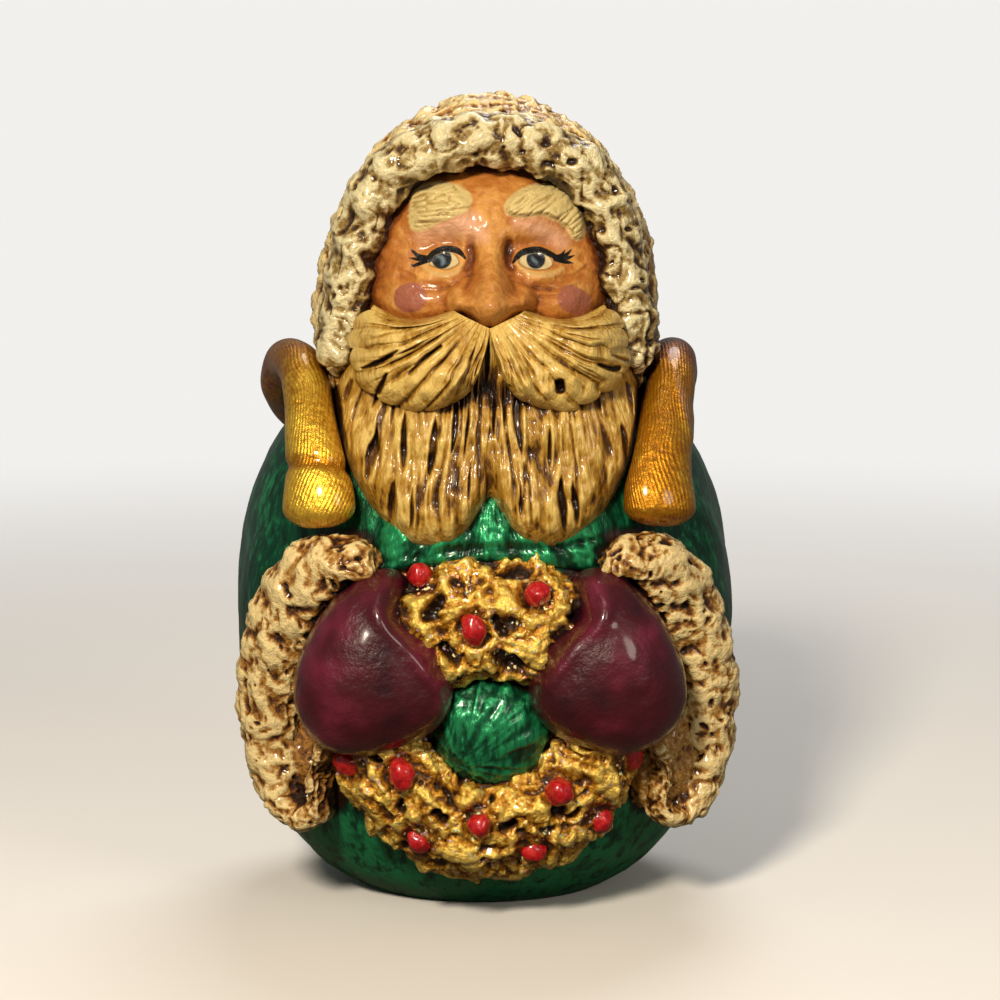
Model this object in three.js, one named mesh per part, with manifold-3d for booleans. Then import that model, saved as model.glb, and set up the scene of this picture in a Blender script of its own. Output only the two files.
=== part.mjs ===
// A Father Christmas figurine, 120 mm tall: one solid resin casting that stands on its own flat foot.
// The egg-shaped robe carries everything else in high relief: a fur hood with a rolled rim round the
// face, a two-lobed moustache, a forked beard, a padded gold collar that runs over the shoulders and
// round the back of the neck, fur cuffs, and two mittens that hold a berried wreath on the belly.
// Millimetres, +Z up, the figure faces -Y, and the origin is the middle of the foot.

import * as THREE from "three";
import { mergeVertices } from "three/addons/utils/BufferGeometryUtils.js";
import Module from "manifold-3d";

const wasm = await Module();
wasm.setup();

// Driving dimensions
const HEIGHT = 119.6;
const ROBE = { x: -0.4, halfWidth: 37.2, depthShare: 0.84, waist: 42 };
const ROBE_BELOW = { reach: 45.2, power: 2.6 };
const ROBE_ABOVE = { reach: 40.8, power: 2.4 };
const HEAD = { y: -2, z: 87, halfWidth: 25.1, halfDepth: 24.4, lean: 0.018, frontPower: 0.64 };
const YOKE = { y: -1, z: 71.5, halfWidth: 29.2, halfDepth: 25.5, halfHeight: 10.5 };
const FACE = { y: -2, z: 90, halfWidth: 23, halfDepth: 23.4, halfHeight: 24 };
const OPENING = { foot: 85, top: 108.6, halfWidth: 16.8, narrowing: 0.17, power: 4.4 };
const RIM = { radius: 3.7, thickness: 4.8, depth: 17.6 };
const CHEST = { top: 66, foot: 54.4, halfWidth: 19, thickness: 1.9, folds: 5 };
const BEARD = { rootZ: 86, rootHalfWidth: 17.5, thickness: 5.6, locks: 15 };
const MOUSTACHE = { thickness: 5.6, locks: 9 };
const COLLAR_THICKNESS = 3.7;
const CUFF_THICKNESS = 4.4;
const MITTEN = { x: 16.7, y: -31.2, z: 39.6, halfWidth: 10.5, halfDepth: 9, halfHeight: 13.3 };
const WREATH = { z: 30.4, ring: 15.8, halfWidth: 8.5, halfThickness: 5.4 };
const BELLY_KNOB = { y: -29.4, z: 29.7, halfWidth: 8.4, halfDepth: 5.8, halfHeight: 8.2 };
const BERRY_RADIUS = 2.15;
const FUR = { pitch: 5.4, depth: 0.75 };

// The right-hand half of each outline, as x and z in millimetres
const BEARD_END = [[0, 62.4], [2.6, 59.2], [5.2, 56.8], [8.6, 55.2], [11.6, 56.2], [14.6, 58.8],
  [17.8, 62.4], [20.2, 67], [21.6, 72], [21.8, 78]];
const MOUSTACHE_END = [[16.6, 89.4], [19, 87.4], [20.4, 84], [20, 79.6], [16.8, 76.6], [11.6, 75],
  [6.6, 76], [2.8, 78.6], [0.5, 82.6]];

// The right-hand half of the collar and the cuff, as x, y, z and half width
const COLLAR_LINE = [[24, -27.4, 58.6, 5.2], [24.5, -25.8, 65, 5.2], [25.6, -20.5, 72.4, 4.3],
  [26.6, -13, 78.4, 3.4], [28.2, -5, 79.8, 3.6], [29.4, 4, 76, 4], [25.6, 14.5, 70.6, 4.6],
  [15, 22, 67.4, 4.8], [0, 24.6, 66.4, 4.8]];
const CUFF_LINE = [[15, -29.8, 52.6, 3.2], [20.6, -28, 53.6, 4.6], [25.2, -25.4, 50.6, 6],
  [28.8, -22.2, 45, 6.4], [31, -20, 37.6, 6], [31.8, -19, 30, 5.4], [30.9, -18.8, 22.8, 4.8],
  [27.6, -20.6, 17.4, 3.9], [24.4, -23, 17.4, 3.2], [22.8, -24.6, 22, 3]];

// Berries as x and z on the front of the wreath
const BERRIES = [[-9.7, 52], [6.5, 49.8], [-2.4, 45.2], [-19.8, 24.8], [-12.4, 24.4], [9.4, 21.8],
  [19.8, 25.8], [-1.6, 17.2], [-10, 14.2], [6, 12.8], [15.6, 16.4]];

const { sin, cos, abs, exp, hypot, max, min, sqrt, atan2, acos, PI } = Math;
const clamp = (value, low, high) => max(low, min(high, value));
const mix = THREE.MathUtils.lerp;

// 1 at the middle of an oval and falling smoothly to nothing past its edge
const mound = (x, z, middleX, middleZ, reachX, reachZ) =>
  exp(-(((x - middleX) / reachX) ** 2) - ((z - middleZ) / reachZ) ** 2);

// The rounded shoulder of a pad: 0 at its edge (share 1) and 1 over its middle
const shoulder = (share, power) => sqrt(clamp(1 - abs(share) ** power, 0, 1));

// Soft lumps between -1 and 1: three trains of waves that cross and don't line up
function lumps(p, pitch) {
  const k = (2 * PI) / pitch;
  const first = sin(k * (p.x + 0.55 * p.z));
  const second = sin(k * (0.8 * p.y - 0.75 * p.x + 0.3 * p.z) + 1.3);
  const third = sin(k * (0.95 * p.z - 0.45 * p.y) + 2.1);
  return (first + second + third) / 3;
}

const furRelief = (p) => FUR.depth * lumps(p, FUR.pitch);

// 0 on a lock's crest and 1 in the cut between two locks, for so many locks across s from 0 to 1
const cut = (s, locks) => 1 - sqrt(abs(sin(PI * locks * s)));

// A smooth line through points of x and z, read by its share of the way from 0 to 1
function outline(points) {
  const line = new THREE.SplineCurve(points.map(([x, z]) => new THREE.Vector2(x, z)));
  return (share) => line.getPoint(clamp(share, 0, 1));
}

// Negative where a form was mirrored and its faces look inwards
function signedVolume(positions, corners) {
  const [a, b, c] = [new THREE.Vector3(), new THREE.Vector3(), new THREE.Vector3()];
  let volume = 0;
  for (let i = 0; i < corners.length; i += 3) {
    a.fromArray(positions, 3 * corners[i]);
    b.fromArray(positions, 3 * corners[i + 1]);
    c.fromArray(positions, 3 * corners[i + 2]);
    volume += a.dot(b.cross(c)) / 6;
  }
  return volume;
}

// A three.js geometry with every vertex moved by place(point), as a manifold solid
function formed(geometry, place) {
  geometry.deleteAttribute("normal");
  geometry.deleteAttribute("uv");
  const closed = mergeVertices(geometry, 1e-5);
  const positions = closed.attributes.position;
  const point = new THREE.Vector3();
  for (let i = 0; i < positions.count; i++) {
    place(point.fromBufferAttribute(positions, i));
    positions.setXYZ(i, point.x, point.y, point.z);
  }
  const corners = new Uint32Array(closed.index.array);
  if (signedVolume(positions.array, corners) < 0) corners.reverse();
  return new wasm.Manifold(
    new wasm.Mesh({ numProp: 3, vertProperties: positions.array, triVerts: corners }),
  );
}

// A ball with its poles up and down, whose unit points place() turns into real ones
const ball = (columns, rows, place) =>
  formed(new THREE.SphereGeometry(1, columns, rows).rotateX(PI / 2), place);

// A point on a section round a path's middle: the half width lies across, the half thickness along out
function onSection(middle, along, out, halfWidth, halfThickness, around, relief) {
  const across = new THREE.Vector3().crossVectors(along, out).normalize();
  const outwards = new THREE.Vector3().crossVectors(across, along).normalize();
  const side = across
    .multiplyScalar(cos(around) * halfWidth)
    .addScaledVector(outwards, sin(around) * halfThickness);
  const surface = middle.clone().add(side);
  return surface.addScaledVector(side.normalize(), relief(surface));
}

// A padded bar with round ends along a line of x, y, z and half width. out(point) is the way it faces
function paddedBar(line, steps, sides, halfThickness, roundEnd, out, relief) {
  const path = new THREE.CatmullRomCurve3(line.map(([x, y, z]) => new THREE.Vector3(x, y, z)));
  const widths = new THREE.SplineCurve(line.map(([, , , width], i) => new THREE.Vector2(i, width)));
  return ball(sides, steps, (p) => {
    const v = acos(clamp(-p.z, -1, 1)) / PI;
    const t = mix(v, (1 - cos(PI * v)) / 2, 0.6);
    const end = clamp(min(t, 1 - t) / roundEnd, 0, 1);
    const taper = sqrt(1 - (1 - end) ** 2);
    const middle = path.getPoint(t);
    const halfWidth = widths.getPoint(t).y * taper + 1e-3;
    const thickness = halfThickness * taper + 1e-3;
    const raised = (surface) => relief(surface) * taper;
    const around = atan2(p.y, p.x);
    p.copy(onSection(middle, path.getTangent(t), out(middle), halfWidth, thickness, around, raised));
  });
}

// A block of hair or skin that fills the ground behind it: front(s, t) is its face's point, with s
// across from 0 to 1 and t down, and back is the y of its hidden side
function slab(columns, rows, back, front) {
  return formed(new THREE.BoxGeometry(1, 1, 1, columns, 1, rows), (p) => {
    const at = front(p.x + 0.5, 0.5 - p.z);
    p.set(at.x, p.y < 0 ? at.y : back, at.z);
  });
}

// The robe: an egg with a superellipse profile, cut flat at the foot
function robeHalfWidth(z) {
  const { reach, power } = z < ROBE.waist ? ROBE_BELOW : ROBE_ABOVE;
  const share = clamp(abs(z - ROBE.waist) / reach, 0, 1);
  return ROBE.halfWidth * (1 - share ** power) ** (1 / power);
}

function robeFront(x, z) {
  return -ROBE.depthShare * sqrt(max(0, robeHalfWidth(z) ** 2 - (x - ROBE.x) ** 2));
}

function robe() {
  const rows = 16;
  const top = ROBE.waist + ROBE_ABOVE.reach;
  const profile = [new THREE.Vector2(0, 0)];
  for (let i = 0; i < rows; i++) {
    const z = top * mix(sin(((i / rows) * PI) / 2) ** 2, i / rows, 0.5);
    profile.push(new THREE.Vector2(robeHalfWidth(z), z));
  }
  profile.push(new THREE.Vector2(0, top));
  const lathe = new THREE.LatheGeometry(profile, 32).rotateX(PI / 2);
  return formed(lathe, (p) => p.set(ROBE.x + p.x, p.y * ROBE.depthShare, p.z));
}

// Sleeves: long swellings from the shoulders down and forwards to the cuffs
function sleeve(side) {
  return ball(12, 8, (p) => {
    const lean = 3 * p.z;
    p.set(side * (24.4 - 0.4 * lean + 12.2 * p.x), lean - 7 + 15.5 * p.y, 47 + 21 * p.z);
  });
}

// The front of the robe below the beard, gathered in folds that fan out from under its fork
function chest() {
  return slab(20, 4, -8, (s, t) => {
    const across = 2 * s - 1;
    const x = across * CHEST.halfWidth * mix(0.72, 1, t);
    const hem = CHEST.foot + 1.4 * across * across;
    const z = mix(CHEST.top, hem, t);
    const fold = 0.5 * cos(2 * PI * CHEST.folds * across * 0.5) * shoulder(across, 4);
    const thickness = CHEST.thickness * shoulder(across, 4) * shoulder(t, 8) + fold * t * (1 - t ** 8);
    return { x, y: robeFront(x, z) - thickness, z };
  });
}

// The round of belly that shows through the wreath
const bellyKnob = () => ball(14, 8, (p) => p.set(
  BELLY_KNOB.halfWidth * p.x,
  BELLY_KNOB.y + BELLY_KNOB.halfDepth * p.y,
  BELLY_KNOB.z + BELLY_KNOB.halfHeight * p.z,
));

// The yoke: the low shoulders inside the collar, from which the head rises
const yoke = () => ball(16, 6, (p) => p.set(
  YOKE.halfWidth * p.x,
  YOKE.y + YOKE.halfDepth * p.y,
  YOKE.z + YOKE.halfHeight * p.z,
));

// The hood: an egg of fur with a fuller front, pushed in where the face looks out
function openingHalfWidth(z) {
  const rise = clamp((z - OPENING.foot) / (OPENING.top - OPENING.foot), 0, 1);
  const straight = OPENING.halfWidth - OPENING.narrowing * (z - OPENING.foot);
  return straight * (1 - rise ** OPENING.power) ** 0.46;
}

function hood() {
  const halfHeight = HEIGHT - HEAD.z;
  return ball(28, 18, (p) => {
    const out = p.clone();
    const depth = p.y < 0 ? -(abs(p.y) ** HEAD.frontPower) : p.y;
    const lean = HEAD.lean * p.z * halfHeight;
    p.set(HEAD.halfWidth * p.x + lean, HEAD.y + HEAD.halfDepth * depth, HEAD.z + halfHeight * p.z);
    const inOpening = p.y < 0 && abs(p.x) < openingHalfWidth(p.z) + 1.5 && p.z > 80;
    p.addScaledVector(out, furRelief(p));
    p.z = min(p.z, HEIGHT);
    if (inOpening) p.y = max(p.y, -12);
  });
}

// The rolled rim runs up one cheek, over the brow and down the other, just outside the opening
function hoodRim() {
  const edge = [];
  for (let i = 0; i <= 16; i++) {
    const z = mix(78, OPENING.top, sin((i / 16) * PI * 0.5));
    const halfWidth = openingHalfWidth(z);
    const slope = atan2(openingHalfWidth(z - 0.3) - halfWidth, 0.3);
    const x = halfWidth + RIM.radius * cos(slope);
    const depth = RIM.depth - 0.06 * max(0, x - 8) ** 1.4;
    edge.push([x, -depth, z + RIM.radius * sin(slope), RIM.radius]);
  }
  const mirrored = edge.slice(0, -1).map(([x, y, z, width]) => [-x, y, z, width]);
  const line = [...mirrored, ...edge.reverse()];
  return paddedBar(line, 30, 8, RIM.thickness, 0.04, () => new THREE.Vector3(0, -1, 0), furRelief);
}

// The face: a rounded slab with the brows, lids, cheeks and nose raised and the sockets pressed in
function faceRelief(x, z) {
  const wide = abs(x);
  const brow = 1.5 * mound(wide, z, 6.9, 102.7, 4.6, 2.7);
  const socket = -2.2 * mound(wide, z, 5.6, 96.4, 4.2, 2.6);
  const eyeball = 1.5 * mound(wide, z, 6.6, 95.8, 2.9, 1.6);
  const cheek = 2.2 * mound(wide, z, 11, 90, 4.8, 3.4);
  const bridge = 2.2 * mound(wide, z, 0, 95.5, 2.1, 6);
  const tip = 5.6 * mound(wide, z, 0, 90.4, 2.8, 2.6);
  const wing = 2.8 * mound(wide, z, 3, 89.8, 1.5, 1.6);
  return brow + socket + eyeball + cheek + bridge + tip + wing;
}

function faceFront(x, z) {
  const inside = 1 - (x / FACE.halfWidth) ** 2 - ((z - FACE.z) / FACE.halfHeight) ** 2;
  return FACE.y - FACE.halfDepth * sqrt(max(0.05, inside)) - faceRelief(x, z);
}

const face = () => slab(22, 17, -6, (s, t) => {
  const z = mix(110, 84, t);
  const x = (2 * s - 1) * (openingHalfWidth(z) + 2.5);
  return { x, y: faceFront(x, z), z };
});

// The surface that the moustache and beard lie on, from the cheeks down to the chest
function beardGround(x, z) {
  const depth = 25.6 + 0.12 * (84 - z);
  return -depth * sqrt(max(0, 1 - (x / 27.5) ** 2));
}

// Beard: locks fan out from under the moustache and gather into two tips
function beard() {
  const mirrored = BEARD_END.slice(1).map(([x, z]) => [-x, z]).reverse();
  const end = outline([...mirrored, ...BEARD_END]);
  return slab(45, 8, -8, (s, t) => {
    const tip = end(s);
    const x = mix(mix(-BEARD.rootHalfWidth, BEARD.rootHalfWidth, s), tip.x, t);
    const z = mix(BEARD.rootZ, tip.y, t);
    const pad = shoulder(2 * s - 1, 8) * shoulder(t, 6);
    const fork = 1 - 0.8 * mound(s, t, 0.5, 1.1, 0.05, 0.42);
    const locks = 0.9 * cut(s, BEARD.locks) + 0.4 * cut(s + 0.12 * t, 7);
    return { x, y: beardGround(x, z) - pad * (BEARD.thickness * fork - locks), z };
  });
}

// Moustache: each lobe's locks fan out from under the nose, and its outer end turns up
function moustache(side) {
  const end = outline(MOUSTACHE_END);
  return slab(18, 6, -10, (s, t) => {
    const tip = end(s);
    const x = side * mix(mix(3, -0.7, s), tip.x, t);
    const sag = 1.6 * sin(PI * t) * (1 - s) ** 2;
    const z = mix(mix(88.7, 86.8, s), tip.y, t) - sag;
    const pad = shoulder(2 * s - 1, 3.4) * shoulder(t, 4);
    const swell = MOUSTACHE.thickness * (0.4 + 0.6 * sin(PI * (0.1 + 0.7 * t)));
    return { x, y: beardGround(x, z) - 2 - pad * (swell - 0.9 * cut(s, MOUSTACHE.locks)), z };
  });
}

// Collar: one padded roll from chest to chest, over the shoulders and round the back of the neck
function collar() {
  const mirrored = COLLAR_LINE.slice(0, -1).map(([x, y, z, width]) => [-x, y, z, width]);
  const whole = [...mirrored, ...[...COLLAR_LINE].reverse()];
  const line = whole.map(([x, y, z, width]) => [x - clamp(1 + y / 14, 0, 1), y, z, width]);
  const out = (at) => new THREE.Vector3(0.45 * at.x, at.y, 5);
  return paddedBar(line, 42, 8, COLLAR_THICKNESS, 0.035, out, () => 0);
}

// Cuff: a thick band of fur that curls round the wrist from the chest to the far side of the hand
function cuff(side) {
  const line = CUFF_LINE.map(([x, y, z, width]) => [side * x, y, z, width]);
  const out = (at) => new THREE.Vector3(0.65 * at.x, 1.3 * at.y, 0.4 * (at.z - 35));
  return paddedBar(line, 22, 8, CUFF_THICKNESS, 0.05, out, furRelief);
}

// Mitten: a full palm that narrows upwards, with the thumb set off by a dent on its inner side
function mitten(side) {
  return ball(16, 11, (p) => {
    const narrow = 1 - 0.2 * p.z;
    const dent = 2 * mound(p.x, p.z, -0.66, 0.6, 0.34, 0.24);
    const x = MITTEN.x - 1.9 * p.z + MITTEN.halfWidth * narrow * p.x + 0.5 * dent;
    const y = MITTEN.y + MITTEN.halfDepth * p.y * (1 - 0.12 * p.z) + (p.y < 0 ? dent : 0);
    p.set(side * x, y, MITTEN.z + MITTEN.halfHeight * p.z);
  });
}

// Wreath: a fat ring of crumpled leaves that follows the belly
const bellyOut = (at) => new THREE.Vector3(0.7 * at.x, at.y, 0.75 * (at.z - ROBE.waist)).normalize();

function wreathMiddle(turn) {
  const x = WREATH.ring * sin(turn);
  const z = WREATH.z + WREATH.ring * cos(turn);
  return new THREE.Vector3(x, robeFront(x, z), z);
}

function wreath() {
  const leaves = (p) => 1.2 * lumps(p, 6.8);
  return formed(new THREE.TorusGeometry(2, 1, 10, 40), (p) => {
    const turn = atan2(p.y, p.x);
    const around = atan2(p.z, hypot(p.x, p.y) - 2);
    const middle = wreathMiddle(turn);
    const along = wreathMiddle(turn + 0.01).sub(wreathMiddle(turn - 0.01)).normalize();
    const halfWidth = WREATH.halfWidth * (0.76 + 0.24 * abs(cos(turn)));
    const thickness = WREATH.halfThickness;
    p.copy(onSection(middle, along, bellyOut(middle), halfWidth, thickness, around, leaves));
  });
}

// Berry: a bead half sunk in the wreath's crest
function berry([x, z]) {
  const fromCrest = (hypot(x, z - WREATH.z) - WREATH.ring) / (WREATH.halfWidth + 1);
  const at = new THREE.Vector3(x, robeFront(x, z), z);
  const rise = WREATH.halfThickness * sqrt(max(0.1, 1 - fromCrest ** 2));
  at.addScaledVector(bellyOut(at), rise);
  return ball(7, 5, (p) => p.multiplyScalar(BERRY_RADIUS).add(at));
}

// Everything is one casting, so the forms are joined into one solid. A pocket that is closed in behind
// them would be filled with resin, so only the outer surface is kept
function casting() {
  const forms = [
    robe(), chest(), bellyKnob(), yoke(), hood(), hoodRim(), face(), beard(), collar(), wreath(),
    ...[-1, 1].flatMap((side) => [sleeve(side), moustache(side), cuff(side), mitten(side)]),
    ...BERRIES.map(berry),
  ];
  const surfaces = forms.reduce((whole, form) => whole.add(form)).decompose();
  return surfaces.reduce((outer, one) => (one.volume() > outer.volume() ? one : outer));
}

function surfaceOf(solid) {
  const mesh = solid.getMesh();
  return new THREE.BufferGeometry()
    .setAttribute("position", new THREE.BufferAttribute(new Float32Array(mesh.vertProperties), 3))
    .setIndex(new THREE.BufferAttribute(new Uint32Array(mesh.triVerts), 1));
}

const paintedResin = new THREE.MeshStandardMaterial({ color: 0x0d5a3a, roughness: 0.35, metalness: 0.1 });
const figurine = new THREE.Mesh(surfaceOf(casting()), paintedResin);
figurine.name = "santa_figurine";

const group = new THREE.Group();
group.add(figurine);

export default group;
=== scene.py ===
"""A Father Christmas figurine, cast in resin in one piece and painted by hand, dressed round its CAD frame.

Each painted part of the casting is a closed mesh of its own that sinks into its neighbours. Sizes are in
millimetres of the real figurine, with the origin in the middle of its foot, +Z up and the face towards -Y.
"""

import math

import bpy
import numpy as np
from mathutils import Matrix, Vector
from mathutils.bvhtree import BVHTree


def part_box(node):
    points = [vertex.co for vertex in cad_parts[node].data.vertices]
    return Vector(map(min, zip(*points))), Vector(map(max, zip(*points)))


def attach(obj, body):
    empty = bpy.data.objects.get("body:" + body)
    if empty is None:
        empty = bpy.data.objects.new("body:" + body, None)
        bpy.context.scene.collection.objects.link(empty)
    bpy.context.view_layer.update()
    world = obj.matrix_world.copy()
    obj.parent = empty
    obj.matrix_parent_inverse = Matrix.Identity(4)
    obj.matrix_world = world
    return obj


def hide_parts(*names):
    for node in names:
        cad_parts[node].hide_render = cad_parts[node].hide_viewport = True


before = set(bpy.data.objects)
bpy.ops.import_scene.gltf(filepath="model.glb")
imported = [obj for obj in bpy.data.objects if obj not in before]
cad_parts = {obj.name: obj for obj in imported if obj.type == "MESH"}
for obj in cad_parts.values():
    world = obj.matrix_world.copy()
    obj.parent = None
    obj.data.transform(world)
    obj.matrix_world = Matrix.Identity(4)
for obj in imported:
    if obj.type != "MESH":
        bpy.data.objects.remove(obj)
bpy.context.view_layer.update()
CASTING = "santa_figurine"
CASTING_LOW, CASTING_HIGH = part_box(CASTING)
CASTING_HEIGHT = 119.6
MM = (CASTING_HIGH[2] - CASTING_LOW[2]) / CASTING_HEIGHT


# Robe
# The egg-shaped body of the casting, on a flat oval foot. It is pearl green acrylic paint over resin, dry
# brushed in short downward strokes, with umber glaze left in the creases and clear varnish over all.
ROBE_X = -0.4
ROBE_HALF_WIDTH = 37.2
ROBE_DEPTH_SHARE = 0.84
ROBE_WAIST = 42
ROBE_BELOW = (45.2, 2.6)
ROBE_ABOVE = (40.8, 2.4)


def robe_half_width(z):
    """The robe's half width at a height: the side of an egg that is fuller above its waist than below."""
    reach, power = (np.where(z < ROBE_WAIST, low, high) for low, high in zip(ROBE_BELOW, ROBE_ABOVE))
    share = np.clip(np.abs(z - ROBE_WAIST) / reach, 0, 1)
    return ROBE_HALF_WIDTH * (1 - share**power) ** (1 / power)


def robe_front(x, z):
    """Where the front of the robe is, as y."""
    return -ROBE_DEPTH_SHARE * np.sqrt(np.maximum(0, robe_half_width(z) ** 2 - (x - ROBE_X) ** 2))


# A piece starts as a grid of points. A tube closes round in its columns and gets caps, a ring closes both
# ways, and a front has four edges, which are drawn together at a point inside the casting.
TUBE = (False, True)
RING = (True, True)
FRONT = (False, False)


def unit(vectors):
    return vectors / np.maximum(np.linalg.norm(vectors, axis=-1, keepdims=True), 1e-9)


def outward(points, kind):
    """The outward direction at each point of a grid."""
    steps = []
    for axis, closed in enumerate(kind):
        if closed:
            steps.append(np.roll(points, -1, axis) - np.roll(points, 1, axis))
        else:
            steps.append(np.gradient(points, axis=axis))
    ways = unit(np.cross(steps[1], steps[0]))
    inside = points.mean(axis=(0, 1)) + np.array([0, 4, 0])
    return ways if np.sum(ways * (points - inside)) > 0 else -ways


def raised(points, kind, height):
    """The grid with each point pushed out of the surface by its height."""
    return points + outward(points, kind) * np.asarray(height)[..., None]


def ease(value, start, stop):
    """0 before start, 1 after stop, and a smooth step between them."""
    share = np.clip((value - start) / (stop - start), 0, 1)
    return share * share * (3 - 2 * share)


def chance(cell, seed):
    """A number from 0 to 1 for each whole-numbered cell of space, the same one in every run."""
    i, j, k = np.moveaxis(cell.astype(np.int64), -1, 0)
    mixed = (i * 73856093) ^ (j * 19349663) ^ (k * 83492791) ^ (seed * 2654435761)
    mixed = (mixed ^ (mixed >> 13)) * 1274126177 & 0x7FFFFFFF
    mixed = (mixed ^ (mixed >> 16)) * 668265263 & 0x7FFFFFFF
    return (mixed ^ (mixed >> 15)) % 16777216 / 16777216


def blended(cell, part, value_at):
    """The value at a place that lies part of the way across a cell, between those at its eight corners."""
    total = np.zeros(cell.shape[:-1])
    for corner in np.ndindex(2, 2, 2):
        weight = np.prod(np.where(corner, part, 1 - part), axis=-1)
        total += weight * value_at(cell + corner)
    return total


def noise(points, pitch, seed):
    """Smooth random swellings between -1 and 1, about one pitch apart."""
    place = points / pitch
    cell = np.floor(place)
    part = place - cell
    return 2 * blended(cell, part * part * (3 - 2 * part), lambda corner: chance(corner, seed)) - 1


def signed_volume(vertices, faces):
    """Negative where the faces of a closed mesh look inwards."""
    halves = [face[:3] for face in faces] + [face[2:] + face[:1] for face in faces if len(face) == 4]
    a, b, c = (vertices[np.array(halves)[:, n]] for n in range(3))
    return np.sum(a * np.cross(b, c)) / 6


def closed_mesh(name, points, kind, hidden):
    """A grid as a closed mesh. hidden is the point inside the casting where a front's edges meet."""
    rows, columns = points.shape[:2]
    index = np.arange(rows * columns).reshape(rows, columns)
    below, above = (index, np.roll(index, -1, 0)) if kind[0] else (index[:-1], index[1:])
    if kind[1]:
        corners = [below, np.roll(below, -1, 1), np.roll(above, -1, 1), above]
    else:
        corners = [below[:, :-1], below[:, 1:], above[:, 1:], above[:, :-1]]
    faces = np.stack(corners, axis=-1).reshape(-1, 4).tolist()
    vertices = points.reshape(-1, 3)
    rims = []
    if kind == TUBE:
        rims = [(index[0][::-1], points[0].mean(axis=0)), (index[-1], points[-1].mean(axis=0))]
    elif kind == FRONT:
        edge = np.concatenate([index[0, ::-1], index[1:-1, 0], index[-1], index[-2:0:-1, -1]])
        rims = [(edge, np.array(hidden, float))]
    for rim, tip in rims:
        faces += [[int(one), int(two), len(vertices)] for one, two in zip(rim, np.roll(rim, -1))]
        vertices = np.vstack([vertices, tip])
    mesh = bpy.data.meshes.new(name)
    mesh.from_pydata((vertices * MM).tolist(), [], faces)
    if signed_volume(vertices, faces) < 0:
        mesh.flip_normals()
    mesh.shade_smooth()
    return mesh


# The painter brushes umber glaze over the whole casting and wipes it off where a cloth reaches. It stays
# in the creases between forms, found from a block of small cells that are full where the casting is, and
# in each piece's own hollows.
CREASE_CELL = 0.7
CREASE_SPREAD = 2
# The cells are looked at this far above a surface. The glaze starts and is whole where they are this full
CREASE_ABOVE = 0.7
CREASE_START, CREASE_WHOLE = 0.42, 0.7


def filled_cells(solid):
    """The casting as blurred cells, from 1 deep inside to 0 outside, and the corner of the block."""
    corners = [solid.matrix_world @ v.co for v in solid.data.vertices]
    tree = BVHTree.FromPolygons(corners, [tuple(p.vertices) for p in solid.data.polygons])
    margin = 7 * CREASE_CELL
    low = np.array(CASTING_LOW) / MM - margin
    shape = np.ceil((np.array(CASTING_HIGH) / MM + margin - low) / CREASE_CELL).astype(int)
    cells = np.zeros(shape, np.float32)
    up = Vector((0, 0, 1))
    for i, j in np.ndindex(shape[0], shape[1]):
        foot = np.append(low[:2] + (np.array([i, j]) + 0.5) * CREASE_CELL, low[2])
        hit = tree.ray_cast(Vector(foot * MM), up)[0]
        levels = []
        while hit is not None:
            levels.append(round((hit.z / MM - low[2]) / CREASE_CELL))
            hit = tree.ray_cast(hit + up * 1e-5, up)[0]
        for bottom, top in zip(levels[::2], levels[1::2]):
            cells[i, j, bottom:top] = 1
    for axis in (0, 1, 2, 0, 1, 2):
        shifts = range(-CREASE_SPREAD, CREASE_SPREAD + 1)
        cells = sum(np.roll(cells, n, axis) for n in shifts) / len(shifts)
    return cells, low


CELLS, CELLS_LOW = filled_cells(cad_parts[CASTING])


def fullness(cell):
    """How full a cell is. One outside the block is like the nearest in it."""
    i, j, k = np.moveaxis(np.clip(cell, 0, np.array(CELLS.shape) - 1), -1, 0)
    return CELLS[i, j, k]


def crease(points, kind):
    """0 where the casting is open, and up to 1 where its forms close in on each other."""
    place = (points + CREASE_ABOVE * outward(points, kind) - CELLS_LOW) / CREASE_CELL - 0.5
    cell = np.floor(place).astype(int)
    return ease(blended(cell, place - cell, fullness), CREASE_START, CREASE_WHOLE)


def sunken(points, kind, reach):
    """How many millimetres each point lies below the average of those around it, reach steps each way."""
    level = points
    for axis in (0, 1, 0, 1):
        room = [(reach, reach) if n == axis else (0, 0) for n in range(3)]
        wide = np.pad(level, room, "wrap" if kind[axis] else "edge")
        count = points.shape[axis]
        shifts = range(2 * reach + 1)
        level = sum(np.take(wide, range(n, n + count), axis) for n in shifts) / len(shifts)
    return np.sum((level - points) * outward(level, kind), axis=-1)


def paint(hex_colour):
    """An sRGB hex colour as the linear values that a node takes."""
    channels = [int(hex_colour[n : n + 2], 16) / 255 for n in (0, 2, 4)]
    return (*[c / 12.92 if c <= 0.04045 else ((c + 0.055) / 1.055) ** 2.4 for c in channels], 1)


def add_node(tree, kind, inputs=(), **settings):
    """A node with its settings. inputs maps its sockets to values or to other nodes' outputs."""
    node = tree.nodes.new(kind)
    for name, value in settings.items():
        setattr(node, name, value)
    for socket, value in dict(inputs).items():
        if isinstance(value, bpy.types.NodeSocket):
            tree.links.new(value, node.inputs[socket])
        else:
            node.inputs[socket].default_value = value
    return node


def worked_out(tree, operation, *values):
    """The output of a Math node on numbers and other nodes' outputs."""
    return add_node(tree, "ShaderNodeMath", enumerate(values), operation=operation).outputs[0]


def ranged(tree, value, start, stop, low=0.0, high=1.0, **settings):
    """The output of a node that goes from low to high while the value goes from start to stop."""
    span = {"Value": value, "From Min": start, "From Max": stop, "To Min": low, "To Max": high}
    return add_node(tree, "ShaderNodeMapRange", span, **settings).outputs[0]


UMBER = "241205"
# A colour Mix node's sockets: the factor, the two colours and the result
FACTOR, UNDER, OVER, MIXED = 0, 6, 7, 2


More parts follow.
